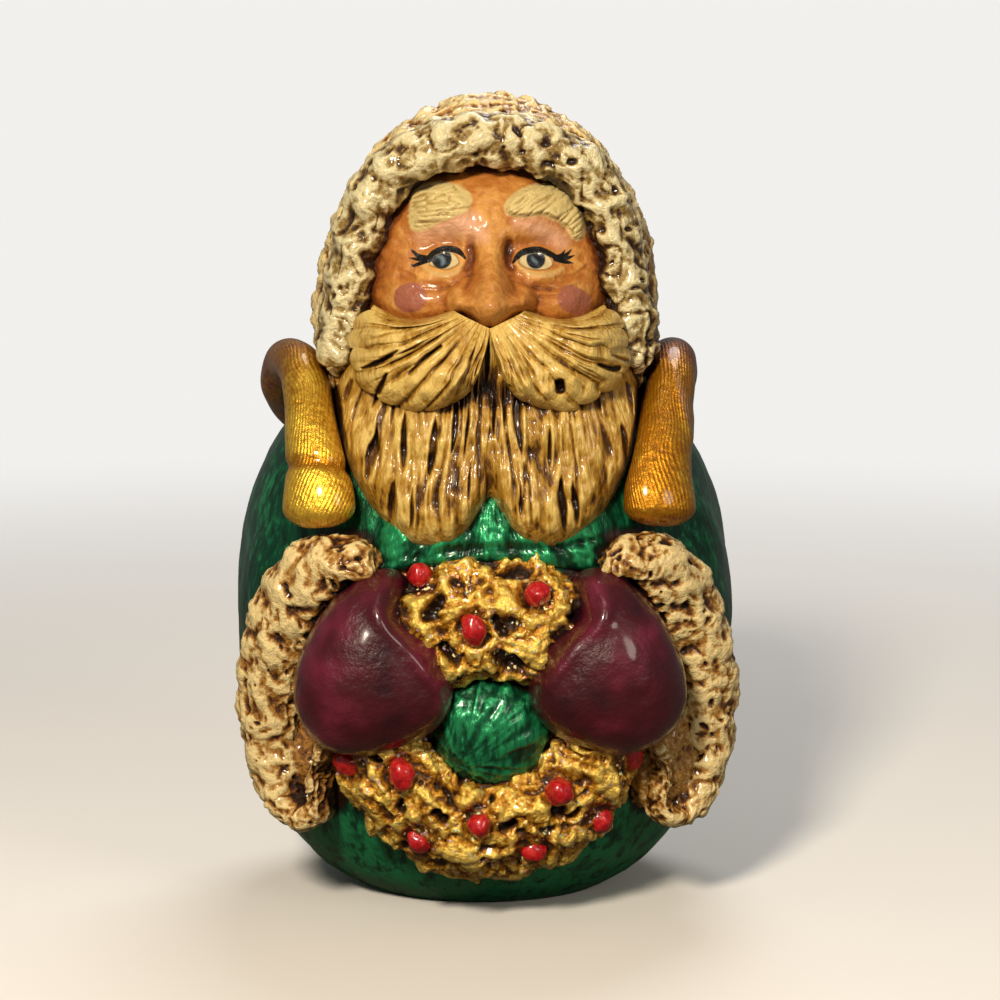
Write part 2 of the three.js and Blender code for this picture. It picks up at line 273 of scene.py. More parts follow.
def brushed_on(material, cover, colour):
    """Brushes a colour over what the material has, as thickly as the cover socket says."""
    tree = material.node_tree
    base = tree.nodes["Principled BSDF"].inputs["Base Color"]
    under = base.links[0].from_socket if base.links else tuple(base.default_value)
    coats = {FACTOR: cover, UNDER: under, OVER: paint(colour)}
    coat = add_node(tree, "ShaderNodeMix", coats, data_type="RGBA")
    tree.links.new(coat.outputs[MIXED], base)


def hand_painted(
    name, colours, stroke, relief, roughness, varnish, direction=(1, 1, 1), metal=0.0, grain=0.0, arcs=0.0
):
    """Acrylic paint with umber glaze in its hollows, under varnish. colours go from the hollows to the high
    spots, stroke is the width in millimetres of a brush mark, which direction can stretch, and relief is its
    height. grain is how much glaze the marks' own fine hollows keep, metal is the share of metal flakes where
    the glaze is thin, and arcs is how far apart the arcs of a dragged brush are."""
    material = bpy.data.materials.new(name)
    material.use_nodes = True
    tree = material.node_tree
    surface = tree.nodes["Principled BSDF"]
    shadow, body, light = colours
    surface.inputs["Base Color"].default_value = paint(body)
    surface.inputs["Roughness"].default_value = roughness
    surface.inputs["Specular IOR Level"].default_value = 0.25
    surface.inputs["Coat Weight"].default_value = varnish
    surface.inputs["Coat Roughness"].default_value = 0.12
    place = add_node(tree, "ShaderNodeTexCoord").outputs["Object"]
    along = add_node(tree, "ShaderNodeMapping", {"Vector": place, "Scale": direction}).outputs[0]
    mottle = {"Vector": along, "Scale": 1 / (stroke * MM), "Detail": 4.0, "Roughness": 0.62}
    brush = add_node(tree, "ShaderNodeTexNoise", mottle).outputs["Fac"]
    # The glaze also lies in patches about two strokes wide
    mottle["Scale"] *= 0.45
    patchy = add_node(tree, "ShaderNodeTexNoise", mottle).outputs["Fac"]
    height = worked_out(tree, "MULTIPLY", brush, relief * MM)
    # The hollow field brings the glaze, and in places painted shade and painted highlights
    hollow = add_node(tree, "ShaderNodeAttribute", attribute_name="hollow").outputs["Fac"]
    glaze = worked_out(tree, "MULTIPLY_ADD", worked_out(tree, "SUBTRACT", patchy, 0.5), 0.4, hollow)
    glaze = worked_out(tree, "MULTIPLY_ADD", worked_out(tree, "SUBTRACT", 0.5, brush), grain, glaze)
    if arcs:
        # A wave texture of scale 1 has a crest every 0.314 m
        rings = {"Vector": place, "Scale": 0.314 / (arcs * MM), "Distortion": 60.0}
        rings = add_node(tree, "ShaderNodeTexWave", {**rings, "Detail": 1.0, "Detail Scale": 0.1})
        height = worked_out(tree, "MULTIPLY_ADD", rings.outputs["Fac"], 0.1 * arcs * MM, height)
    for colour, start, stop in ((light, 0.06, -0.48), (shadow, 0.02, 0.42), (UMBER, 0.34, 0.85)):
        cover = ranged(tree, glaze, start, stop, interpolation_type="SMOOTHSTEP")
        brushed_on(material, cover, colour)
    if metal:
        tree.links.new(ranged(tree, glaze, 0.1, 0.6, metal, 0.0), surface.inputs["Metallic"])
    bump = add_node(tree, "ShaderNodeBump", {"Height": height, "Distance": 1.0})
    tree.links.new(bump.outputs[0], surface.inputs["Normal"])
    return material


def put_in_scene(name, data):
    """An object that shows the mesh, light or camera."""
    thing = bpy.data.objects.new(name, data)
    bpy.context.scene.collection.objects.link(thing)
    return thing


def add_piece(name, points, kind, material, hollow, hidden=None, fields=()):
    """Makes the piece, which rides on the casting and stands for part of it. hollow says how much glaze
    each point keeps, with painted shade and painted highlights added in places, from about -0.5 on a high
    spot to 1 in a deep crease."""
    mesh = closed_mesh(name, points, kind, hidden)
    for label, values in {"hollow": hollow, **dict(fields)}.items():
        flat = np.zeros(len(mesh.vertices), np.float32)
        flat[: points[..., 0].size] = np.broadcast_to(values, points.shape[:2]).reshape(-1)
        mesh.attributes.new(label, "FLOAT", "POINT").data.foreach_set("value", flat)
    mesh.materials.append(material)
    piece = put_in_scene(name, mesh)
    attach(piece, "root")
    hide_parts(CASTING)


# Mica in the paint makes each brush stroke shine by itself. The green is painted from pale to nearly black, a
# painted sheen of that shine that flickers from stroke to stroke
emerald = hand_painted(
    "pearl green acrylic, dry brushed",
    ("021C10", "06452C", "23905A"),
    stroke=1.0,
    direction=(1, 1, 0.28),
    relief=0.3,
    metal=0.45,
    roughness=0.36,
    varnish=0.4,
    grain=1.7,
)


BRUSH_MARK = 1.6


def brush_marks(points, seed):
    """Ridges that a dry brush leaves, between about -1 and 1, drawn out downwards."""
    drawn = points * (1, 1, 0.4)
    return 0.6 * noise(drawn, BRUSH_MARK, seed) + 0.4 * noise(drawn, BRUSH_MARK / 2, seed + 1)


turn, rise = np.meshgrid(np.linspace(-np.pi, np.pi, 180, endpoint=False), np.linspace(0, 1, 90))
z = (ROBE_WAIST + ROBE_ABOVE[0]) * (0.5 * np.sin(rise * np.pi / 2) ** 2 + 0.5 * rise) * 0.995
width = robe_half_width(z)
robe = np.stack([ROBE_X + width * np.sin(turn), -ROBE_DEPTH_SHARE * width * np.cos(turn), z], axis=-1)
marks = brush_marks(robe, 11)
robe_height = (0.3 * noise(robe, 8, 13) + 0.16 * marks) * ease(z, 0.4, 4)
robe = raised(robe, TUBE, robe_height)
# Round the foot it is painted lighter as a painted highlight, in bolder strokes
foot_highlight = ease(z, 24, 6)
robe_hollow = 1.1 * crease(robe, TUBE) - (0.25 + 0.5 * foot_highlight) * marks - 0.02 - 0.38 * foot_highlight
add_piece("robe", robe, TUBE, emerald, robe_hollow)

# Sleeves
# They swell from the shoulders to the wrists, and were modelled and cast in one with the robe. They are
# brushed with the same green.
SLEEVE_MIDDLE = (24.4, -7, 47)
SLEEVE_REACH = (12.2, 15.5, 21)
SLEEVE_LEAN = (-1.2, 3)
SIDES = ((-1, "left"), (1, "right"))


def ways_out(columns, rises):
    """The directions out of a ball: so many columns of them round it, each going through the angles rises."""
    turn, rise = np.meshgrid(np.linspace(-np.pi, np.pi, columns, endpoint=False), rises)
    return np.stack([np.sin(turn) * np.cos(rise), -np.cos(turn) * np.cos(rise), np.sin(rise)], axis=-1)


for side, word in SIDES:
    ways = ways_out(80, np.linspace(-1.55, 1.55, 50))
    sleeve = np.array(SLEEVE_MIDDLE) + ways * SLEEVE_REACH
    sleeve[..., :2] += ways[..., 2:] * SLEEVE_LEAN
    sleeve *= (side, 1, 1)
    marks = brush_marks(sleeve, 14)
    sleeve = raised(sleeve, TUBE, 0.16 * marks + 0.25 * noise(sleeve, 7, 16))
    add_piece(f"sleeve_{word}", sleeve, TUBE, emerald, 1.1 * crease(sleeve, TUBE) - 0.25 * marks)


# Yoke and belly
# The shoulders carry the head on a low round yoke, and inside the wreath the belly shows as a round knob
# of finely gathered cloth. Both are the same green as the robe.
def ball(columns, rows, middle=(0, 0, 0), reach=(1, 1, 1)):
    """A grid of points on an ellipsoid, from its bottom to its top."""
    rises = np.linspace(-np.pi / 2, np.pi / 2, rows + 2)[1:-1]
    return np.array(middle) + ways_out(columns, rises) * reach


def surface_of(*coordinates):
    """A grid of points from its x, y and z, where a single number is the same all over."""
    return np.stack(np.broadcast_arrays(*coordinates), axis=-1).astype(float)


yoke = ball(90, 30, middle=(0, -1, 71.5), reach=(29.2, 25.5, 10.5))
add_piece("yoke", yoke, TUBE, emerald, crease(yoke, TUBE) - 0.3 * brush_marks(yoke, 17))


def ridged(points, pitch, seed):
    """Sharp crests that wander between rounded hollows, from about -1 up to 1."""
    return 1 - 2 * np.abs(noise(points, pitch, seed))


belly = ball(130, 85, middle=(0, -29.4, 29.7), reach=(8.4, 5.8, 8.2))
# The cloth is drawn into ridges that fan out from low on the left
BELLY_KNOT = (-4.5, 25.5)
from_knot = belly[..., [0, 2]] - BELLY_KNOT
far = np.maximum(np.linalg.norm(from_knot, axis=-1), 1)
fan = surface_of(9 * from_knot[..., 0] / far, 9 * from_knot[..., 1] / far, 0.22 * far)
folds = 0.7 * ridged(fan, 1.0, 18) + 0.3 * noise(belly, 0.8, 19)
belly = raised(belly, TUBE, 0.42 * folds)
belly_hollow = 1.2 * crease(belly, TUBE) - 0.4 * folds + 0.25 * ease(-belly[..., 0], 3.5, 8) - 0.08
add_piece("belly", belly, TUBE, emerald, belly_hollow)


# Chest
# The front of the robe between the beard and the wreath, gathered in folds that fan out from the fork of
# the beard like a tent. One long crease crosses them just above the wreath.
CHEST_TOP, CHEST_HEM, CHEST_HEM_DROP = 65, 53.6, 3.5
CHEST_PEAK = 67
CHEST_CREASE = [(-17, 53, 0.1), (-12, 54.2, 0.2), (-5, 55.6, 0.3), (4, 55.8, 0.3)]
CHEST_CREASE += [(11, 55.8, 0.2), (18, 57.4, 0.1)]
CHEST_HALF_WIDTH = 19
CHEST_THICKNESS = 1.9
CHEST_FOLDS = 5


def shoulder(share, power):
    """The rounded shoulder of a pad: 0 at its edge, where share is 1, and 1 over its middle."""
    return np.sqrt(np.clip(1 - np.abs(share) ** power, 0, 1))


def smooth_line(points, shares):
    """The smooth curve through the points, at shares of the way along it from 0 to 1."""
    points = np.asarray(points, float)
    knots = np.vstack([2 * points[0] - points[1], points, 2 * points[-1] - points[-2]])
    place = np.clip(shares, 0, 1) * (len(points) - 1)
    start = np.minimum(place.astype(int), len(points) - 2)
    part = (place - start)[..., None]
    a, b, c, d = (knots[start + n] for n in range(4))
    bend = (2 * a - 5 * b + 4 * c - d) * part**2 + (3 * b - a - 3 * c + d) * part**3
    return 0.5 * (2 * b + (c - a) * part + bend)


def stroke(x, z, line):
    """How many millimetres each place lies inside a stroke drawn smoothly along x, z and half width. It is
    negative outside."""
    line = smooth_line(line, np.linspace(0, 1, 4 * len(line) - 3)) if len(line) > 2 else line
    inside = np.full(np.shape(x), -9.0)
    for (ax, az, aw), (bx, bz, bw) in zip(line, line[1:]):
        share = ((x - ax) * (bx - ax) + (z - az) * (bz - az)) / ((bx - ax) ** 2 + (bz - az) ** 2)
        share = np.clip(share, 0, 1)
        away = np.hypot(x - ax - share * (bx - ax), z - az - share * (bz - az))
        inside = np.maximum(inside, aw + share * (bw - aw) - away)
    return inside


across, down = np.meshgrid(np.linspace(-1, 1, 190), np.linspace(0, 1, 75))
x = across * CHEST_HALF_WIDTH * (0.72 + 0.28 * down)
z = CHEST_TOP + (CHEST_HEM - CHEST_HEM_DROP * across**2 - CHEST_TOP) * down
fold = 0.5 * np.cos(np.pi * CHEST_FOLDS * across) * shoulder(across, 4)
fan = np.arctan2(x, CHEST_PEAK - z)
from_peak = np.hypot(x, CHEST_PEAK - z)
pleat = ridged(surface_of(9 * fan, 0.3 * from_peak, 0), 1.0, 21)
crumple = noise(surface_of(26 * fan, 0.5 * from_peak, 0), 0.9, 22)
line = ease(stroke(x, z, CHEST_CREASE), -0.8, 0.2)
carved = fold + 0.45 * pleat + 0.35 * crumple + 0.25 * noise(surface_of(x, 0, z), 1.0, 23) - 0.6 * line
thickness = CHEST_THICKNESS * shoulder(across, 4) * shoulder(down, 8) + carved * down * (1 - down**8)
chest = surface_of(x, robe_front(x, z) - thickness * ease(down, -0.1, 0.35), z)
chest_hollow = 0.6 * crease(chest, FRONT) - 0.45 * carved - 0.13
add_piece("chest", chest, FRONT, emerald, chest_hollow, hidden=(0, -8, 60))


# Hood
# All of the head but the face is fur: resin that was pressed up into soft lumps and stabbed with a stick
# while it was being modelled. It is painted ochre, brushed cream and left dark in the holes.
HEAD_Y, HEAD_Z = -2, 87
HEAD_HALF_WIDTH, HEAD_HALF_DEPTH, HEAD_RISE = 25.1, 24.4, 31.9
HEAD_LEAN = 0.018
HEAD_FRONT_POWER = 0.64
FUR_PITCH, FUR_DEPTH = 5.4, 0.5
OPENING_FOOT, OPENING_TOP = 85, 108.6
OPENING_HALF_WIDTH, OPENING_NARROWING, OPENING_POWER = 16.8, 0.17, 6.4
OPENING_ROUNDING = 0.46
RIM_RADIUS, RIM_THICKNESS, RIM_DEPTH, RIM_FOOT = 3.7, 4.8, 17.6, 78


def opening_half_width(z):
    """The half width of the hood's opening for the face."""
    share = np.clip((z - OPENING_FOOT) / (OPENING_TOP - OPENING_FOOT), 0, 1)
    straight = OPENING_HALF_WIDTH - OPENING_NARROWING * (z - OPENING_FOOT)
    return straight * (1 - share**OPENING_POWER) ** OPENING_ROUNDING


def rim_share(x, z):
    """1 on the middle line of the opening's rim, less inside it and more outside."""
    up = np.maximum(0, z - OPENING_FOOT) / (OPENING_TOP + RIM_RADIUS - OPENING_FOOT)
    straight = OPENING_HALF_WIDTH + RIM_RADIUS - OPENING_NARROWING * (z - OPENING_FOOT)
    return (np.abs(x) / straight) ** (1 / OPENING_ROUNDING) + up**OPENING_POWER


def lumps(points, pitch):
    """Soft lumps between -1 and 1: three trains of waves that cross and never line up."""
    k = 2 * np.pi / pitch
    x, y, z = np.moveaxis(points, -1, 0)
    first = np.sin(k * (x + 0.55 * z))
    second = np.sin(k * (0.8 * y - 0.75 * x + 0.3 * z) + 1.3)
    third = np.sin(k * (0.95 * z - 0.45 * y) + 2.1)
    return (first + second + third) / 3


def wandering(points, pitch, reach, seed):
    """The points pushed about by up to reach, so that a pattern on them doesn't run straight."""
    push = np.stack([noise(points, pitch, seed + n) for n in range(3)], axis=-1)
    return points + reach * push


def worms(points, pitch, seed, wide):
    """Round crests that wander like worms, from 0 in the pits between them up to 1. They are fatter and the
    pits are fewer the nearer wide is to 1."""
    return 1 - np.minimum(noise(points, pitch, seed) ** 2 / wide**2, 1)


def cells_near(place, seed):
    """The cell that each place is in and the 26 next to it, one after another. Each comes with the way to a
    spot in it and with a direction of its own, both drawn by chance."""
    home = np.floor(place)
    for step in np.ndindex(3, 3, 3):
        cell = home + np.array(step) - 1
        seat, way = (np.stack([chance(cell, seed + n + k) for k in range(3)], axis=-1) for n in (0, 3))
        yield cell, cell + seat - place, unit(way - 0.5)


def stabs(points, apart, wide, seed):
    """How deep a stick was pushed in at each place, from 0 to 1. The slots lie any way, about as far apart
    as is given, and are of every size up to wide."""
    deep = np.zeros(points.shape[:-1])
    for cell, away, way in cells_near(points / apart, seed):
        along = apart * np.sum(away * way, axis=-1)
        across = np.sqrt(np.maximum(0, apart**2 * np.sum(away**2, axis=-1) - 0.8 * along**2))
        half = wide * (0.1 + 0.9 * chance(cell, seed + 6) ** 2)
        deep = np.maximum(deep, ease(across / half, 1.2, 0.4))
    return deep


def poked_fur(points, kind, seed, curl, fat, depth=0.6, holes=1.0, apart=2.2, wide=0.65, dents=0.0):
    """The grid raised into fur, and its glaze: curls about curl apart, with pits, thin cracks and stabbed
    holes between them and, where dents is above 0, wider dents with raised lips."""
    loose = wandering(wandering(points, 3.0, 1.0, seed), 1.2, 0.35, seed + 3)
    curls = worms(loose, curl, seed + 6, fat)
    wisps = ridged(loose, 0.45 * curl, seed + 7)
    cracks = 1 - np.minimum(7 * np.abs(noise(loose, 1.1 * curl, seed + 9)), 1)
    crumple = noise(loose, 0.4 * curl, seed + 8)
    stabbed = holes * stabs(loose, apart, wide, seed + 10)
    dent = dents * stabs(loose, 4.0, 1.7, seed + 30)
    swell = FUR_DEPTH * lumps(points, FUR_PITCH) + 0.25 * noise(points, 3.6, seed + 20)
    carved = depth * (curls - 0.7 + 0.4 * wisps - 0.5 * cracks + 0.45 * crumple)
    fur = raised(points, kind, swell + carved + dent * (0.9 - 1.4 * dent) - 0.9 * stabbed)
    glaze = 1.8 * sunken(fur, kind, 3) + 0.14 * (1 - curls) + 0.35 * cracks + 0.7 * stabbed
    return fur, glaze - 0.12 * wisps - 0.16 * crumple + 0.15 * dent - 0.2


# Cream paint on the high spots over ochre, with a satin shine that picks out every lump
fur_ochre = hand_painted(
    "stabbed fur, ochre acrylic brushed cream",
    ("5E3410", "A8762E", "E8D092"),
    stroke=0.7,
    relief=0.55,
    roughness=0.36,
    varnish=0.55,
    grain=1.5,
)

x, y, z = np.moveaxis(ball(440, 220), -1, 0)
front = np.where(y < 0, -(np.abs(y) ** HEAD_FRONT_POWER), y)
rise = HEAD_RISE * z
smooth = surface_of(HEAD_HALF_WIDTH * x + HEAD_LEAN * rise, HEAD_Y + HEAD_HALF_DEPTH * front, HEAD_Z + rise)
in_crease = crease(smooth, TUBE)
# More of the holes are on the viewer's right
more_right = 0.75 + 0.25 * ease(smooth[..., 0], -6, 10)
fur, hood_hollow = poked_fur(smooth, TUBE, 100, curl=2.6, fat=0.5, holes=more_right)
# Under the rim and the face it sinks into the head
covered = ease(rim_share(smooth[..., 0], smooth[..., 2]), 1.0, 0.6) * ease(smooth[..., 2], 78, 81) * (y < 0)
hood = fur + covered[..., None] * (smooth - fur)
hood[..., 1] += covered * np.maximum(0, -12 - hood[..., 1])
# The viewer's right is painted darker and browner, most of all low down: painted shade on the side away from
# the light
right_low_shade = ease(smooth[..., 0], 12, 20) * ease(smooth[..., 2], 102, 90)
hood_hollow += 0.9 * in_crease + 0.15 * ease(smooth[..., 0], 2, 16) + 0.2 * right_low_shade
add_piece("hood", hood, TUBE, fur_ochre, hood_hollow)


# Rim of the hood
# A fat roll of fur round the face, modelled in broad irregular scoops. It is brushed paler and silvery, it
# is worn smoother than the rest, and its inner side is dark with glaze.
def padded_bar(line, steps, sides, half_thickness, round_end, facing):
    """A grid on a padded bar with round ends, along a line of x, y, z and half width. facing gives the way
    that its flat side looks. Also returns how far along and how far across the bar its points are, where
    across is in proportion to its half thickness."""
    share = np.linspace(0, 1, steps + 2)[1:-1]
    share = 0.4 * share + 0.3 * (1 - np.cos(np.pi * share))
    curve = smooth_line(line, share)
    middle, half_width = np.split(curve, [3], axis=1)
    along = (smooth_line(line, share + 1e-3) - smooth_line(line, share - 1e-3))[:, :3]
    sideways = unit(np.cross(along, facing(middle)))
    outwards = unit(np.cross(sideways, along))
    end = np.clip(np.minimum(share, 1 - share) / round_end, 0, 1)
    taper = np.sqrt(1 - (1 - end) ** 2)[:, None, None]
    around = np.linspace(0, 2 * np.pi, sides, endpoint=False)
    wide = (half_width * sideways)[:, None, :] * np.cos(around)[None, :, None]
    thick = (half_thickness * outwards)[:, None, :] * np.sin(around)[None, :, None]
    length = np.concatenate([[0], np.cumsum(np.linalg.norm(np.diff(middle, axis=0), axis=1))])
    return middle[:, None, :] + taper * (wide + thick), length[:, None], half_thickness * np.cos(around)


def mirrored(half):
    """The whole line from its right half, which starts at the outer end and stops in the middle."""
    return [(-x, *rest) for x, *rest in half[:-1]] + list(half[::-1])


rim_half = []
for share in np.linspace(0, 1, 17):
    z = RIM_FOOT + (OPENING_TOP - RIM_FOOT) * math.sin(share * math.pi / 2)
    slope = math.atan2(opening_half_width(z - 0.3) - opening_half_width(z), 0.3)
    x = opening_half_width(z) + RIM_RADIUS * math.cos(slope)
    # It sweeps back beside the cheeks
    y = -(RIM_DEPTH - 0.06 * max(0, x - 8) ** 1.4)
    rim_half.append((x, y, z + RIM_RADIUS * math.sin(slope), RIM_RADIUS))
rim, _, across = padded_bar(mirrored(rim_half), 340, 96, RIM_THICKNESS, 0.04, lambda at: (0, -1, 0))
in_crease = crease(rim, TUBE)
silver_fur = hand_painted(
    "worn fur, brushed pale and silvery",
    ("4A3014", "95793E", "DDD0A0"),
    stroke=0.8,
    relief=0.55,
    metal=0.1,
    roughness=0.34,
    varnish=0.6,
    grain=1.5,
)
more_right = 0.5 + 0.5 * ease(rim[..., 0], -8, 8)
rim, rim_hollow = poked_fur(
    rim, TUBE, 40, curl=2.7, fat=0.8, depth=0.5, holes=more_right, apart=2.7, wide=0.9, dents=0.4
)
rim_hollow += 0.9 * in_crease + 0.5 * ease(across, 1.2, 4.4) + 0.2 * ease(-across, 1.5, 4.5)
# Low beside the face its inner side keeps more glaze, and the viewer's right is painted darker as painted
# shade
beside_face = ease(rim[..., 2], 104, 94)
rim_hollow += beside_face * (0.35 * ease(across, 0, 3.5) + 0.2 * ease(rim[..., 0], 16, 22))
add_piece("hood_rim", rim, TUBE, silver_fur, rim_hollow)


# Face
# A folk doll's face with puffed cheeks, a broad nose and small eyes in soft lids. The brows are pads of
# straw-coloured hair, and the eyes, lashes and rosy cheeks are painted on with a fine brush.
FACE_Y, FACE_Z = -2, 90
FACE_HALF_WIDTH, FACE_HALF_DEPTH, FACE_HALF_HEIGHT = 23, 23.4, 24


def mound(x, z, middle_x, middle_z, reach_x, reach_z):
    """1 at the middle of an oval, falling smoothly to nothing past its edge."""
    return np.exp(-(((x - middle_x) / reach_x) ** 2) - ((z - middle_z) / reach_z) ** 2)


def strokes(x, z, lines):
    """How many millimetres each place lies inside the nearest of several strokes."""
    return np.maximum.reduce([stroke(x, z, line) for line in lines])


def patch(x, z, outline):
    """How many millimetres each place lies inside a smooth closed outline. It is negative outside."""
    wrapped = [*outline[-2:], *outline, *outline[:3]]
    turns = np.linspace(0, len(outline), 5 * len(outline), endpoint=False)
    line = smooth_line(wrapped, (2 + turns) / (len(outline) + 4))
    inside = np.zeros(np.shape(x), bool)
    away = np.full(np.shape(x), 9.0)
    for (ax, az), (bx, bz) in zip(line, np.roll(line, -1, 0)):
        inside ^= ((az > z) != (bz > z)) & (x < (bx - ax) * (z - az) / (bz - az + 1e-9) + ax)
        away = np.minimum(away, -stroke(x, z, [(ax, az, 0), (bx, bz, 0)]))
    return np.where(inside, away, -away)


# The nose at several heights: z, how far it stands out of the face and how wide it spreads to each side
NOSE = [(101, 0.2, 2.8), (98, 1.1, 2.5), (95.5, 2.2, 2.4), (93.3, 4.0, 2.8), (91.4, 6.2, 3.7)]
NOSE += [(89.7, 7.4, 4.2), (88.2, 6.9, 4), (87, 5, 3.3), (86, 2.2, 2.6), (84, 0.2, 2.2)]
# The height of each pair of mounds, where its middle is to the side and up, and how far it reaches each way
FACE_MOUNDS = {
    "brow": (1.2, 6.9, 102.7, 5.0, 3.0),
    "eye socket": (-2.1, 5.6, 96.8, 4.4, 2.5),
    "eye": (1.4, 6.5, 95.6, 2.9, 1.7),
    "bag under the eye": (0.7, 7.2, 92.9, 3.8, 0.9),
    "cheek": (2.4, 10.8, 89.6, 4.6, 3.4),
    "wing of the nose": (4.2, 4.3, 90.0, 1.6, 1.9),
}
FACE_MIDDLE_X = 0.2


def face_front(x, z):
    """The front of the face as y: an egg with the brow, sockets, eyes, cheeks and nose on it."""
    wide = np.abs(x - FACE_MIDDLE_X)
    relief = sum(height * mound(wide, z, *place) for height, *place in FACE_MOUNDS.values())
    line = smooth_line(NOSE, np.linspace(0, 1, 60))[::-1]
    proud, spread = (np.interp(z, line[:, 0], line[:, n]) for n in (1, 2))
    relief += proud * (1 - np.minimum(wide / spread, 1) ** 2) ** 1.3
    inside = 1 - (x / FACE_HALF_WIDTH) ** 2 - ((z - FACE_Z) / FACE_HALF_HEIGHT) ** 2
    return FACE_Y - FACE_HALF_DEPTH * np.sqrt(np.maximum(0.05, inside)) - relief


# The outlines and strokes of what is painted or cut on the face, the viewer's left first, as x and z, with
# the half width of a stroke
BROWS = [
    [(-11, 100.2), (-11, 103.7), (-9.8, 105.6), (-7.6, 106.4), (-4.8, 106.2), (-2.9, 105.1), (-2.4, 103.2)],
    [(2.4, 102.3), (2.8, 104), (4.6, 105.3), (7.2, 106), (9.6, 106), (11.7, 105.1), (13.2, 103.3)],
]
BROWS[0] += [(-3.6, 101.9), (-6.2, 101.2), (-9.2, 99.9)]
BROWS[1] += [(13.8, 100.8), (13.4, 98.6), (12, 98.6), (11.2, 99.9), (9.6, 101.1), (7.4, 101.9), (4.6, 101.6)]
UPPER_LIDS = [
    [(-8.6, 95.9, 0.3), (-7.6, 96.7, 0.42), (-6, 97.2, 0.46), (-4.3, 96.9, 0.42), (-3.3, 95.9, 0.16)],
    [(3.4, 95.3, 0.16), (4.1, 96.2, 0.38), (5.1, 96.8, 0.46), (7, 97.05, 0.46), (8.6, 96.5, 0.42)],
]
UPPER_LIDS[1] += [(9.9, 95.8, 0.32)]
LOWER_LIDS = [
    [(-9.5, 94.9, 0.1), (-8, 94.0, 0.26), (-6.4, 93.65, 0.32), (-4.5, 94.1, 0.26), (-3.5, 95.4, 0.1)],
    [(3.9, 95.1, 0.1), (5.4, 94.0, 0.26), (7, 93.6, 0.32), (9, 93.8, 0.3), (10.6, 94.4, 0.12)],
]
WHITES = [
    [(-8.4, 95.2), (-7.4, 96.4), (-6, 96.9), (-4.7, 96.3), (-4.2, 95.4), (-4.9, 94.75), (-6.2, 94.4)],
    [(4.2, 95.5), (4.9, 96.4), (6.6, 96.8), (8.3, 96.3), (9, 95.2), (8.5, 94.55), (7.1, 94.3), (5.3, 94.6)],
]
WHITES[0] += [(-7.6, 94.75)]
IRISES = [[(-6.7, 95.85, 1.38), (-6.6, 95.85, 1.38)], [(6.6, 95.75, 1.3), (6.7, 95.75, 1.3)]]
GLINTS = [
    [(-7.2, 96.1, 0.1), (-6.7, 96, 0.24), (-6.4, 95.5, 0.3), (-6.6, 95.0, 0.1)],
    [(6.1, 96, 0.1), (6.3, 95.7, 0.2), (6.8, 95.3, 0.12)],
]
LASHES = [
    [(-8.1, 95.9, 0.32), (-9.7, 96.1, 0.32), (-10.6, 96.7, 0.22), (-11, 97.2, 0.05)],
    [(-8.1, 95.8, 0.3), (-9.8, 95.7, 0.28), (-11.3, 95.9, 0.05)],
    [(-8.1, 95.7, 0.28), (-9.6, 95.2, 0.28), (-10.6, 94.8, 0.2), (-11, 95.1, 0.04)],
    [(9.3, 96, 0.32), (10.3, 96.2, 0.28), (10.9, 97, 0.05)],
    [(9.3, 96, 0.32), (10.9, 96.2, 0.3), (11.9, 97.1, 0.05)],
    [(9.4, 95.9, 0.3), (11, 95.8, 0.3), (12.3, 96.2, 0.05)],
    [(9.4, 95.7, 0.3), (10.9, 95.3, 0.28), (12.1, 95.1, 0.05)],
]
BLUSH = [[(-11.4, 90.3, 2.05), (-10.8, 90.5, 2.05)], [(11.5, 90.3, 1.85), (12.7, 89.6, 1.85)]]
# Under and beside the brows the skin is brushed pale and pinkish
PALE_SKIN = [
    [(-9.6, 99.2, 0.6), (-6.4, 100.1, 1.3), (-3.2, 100.6, 1.7), (-1, 99, 0.6)],
    [(4.4, 100.8, 0.6), (7.4, 100, 1.0), (10.4, 98.2, 0.9)],
]
CREASES = [
    [(-2.6, 98.4, 0.12), (-2.5, 96.2, 0.35), (-3.2, 94.1, 0.12)],
    [(2.9, 98.2, 0.12), (2.7, 95.9, 0.35), (3.6, 93.8, 0.12)],
    [(-3.1, 93.7, 0.1), (-5.6, 92.5, 0.2), (-9, 92.5, 0.2), (-12.6, 93.3, 0.06)],
    [(3.4, 93.6, 0.1), (6, 92.4, 0.2), (9.8, 92.4, 0.2), (13.4, 93.2, 0.06)],
]
# Finer wrinkles under and beside the eyes, deeper on the viewer's right, and round the wings of the nose
WRINKLES = [
    [(3.6, 92.7, 0.05), (6.5, 91.7, 0.12), (10, 91.5, 0.12), (13.2, 92.3, 0.05)],
    [(4.4, 91.6, 0.05), (7.2, 90.6, 0.12), (10.4, 90.7, 0.05)],
    [(9.6, 93.2, 0.05), (12, 93.5, 0.1), (13.9, 94.5, 0.05)],
    [(-4, 92.7, 0.05), (-7, 91.5, 0.1), (-10.5, 91.8, 0.05)],
    [(-10.4, 93.3, 0.05), (-12.8, 94.3, 0.05)],
    [(-5.4, 91.9, 0.05), (-6.3, 90.4, 0.2), (-6.1, 88.6, 0.12)],
    [(5.8, 91.9, 0.05), (6.8, 90.4, 0.2), (6.6, 88.6, 0.12)],
]
NOSTRILS = [
    [(-4.6, 88.3, 0.2), (-2.9, 87.9, 0.4), (-1.7, 87.4, 0.25)],
    [(2, 87.4, 0.25), (3.2, 87.9, 0.4), (5.2, 88.4, 0.2)],
]

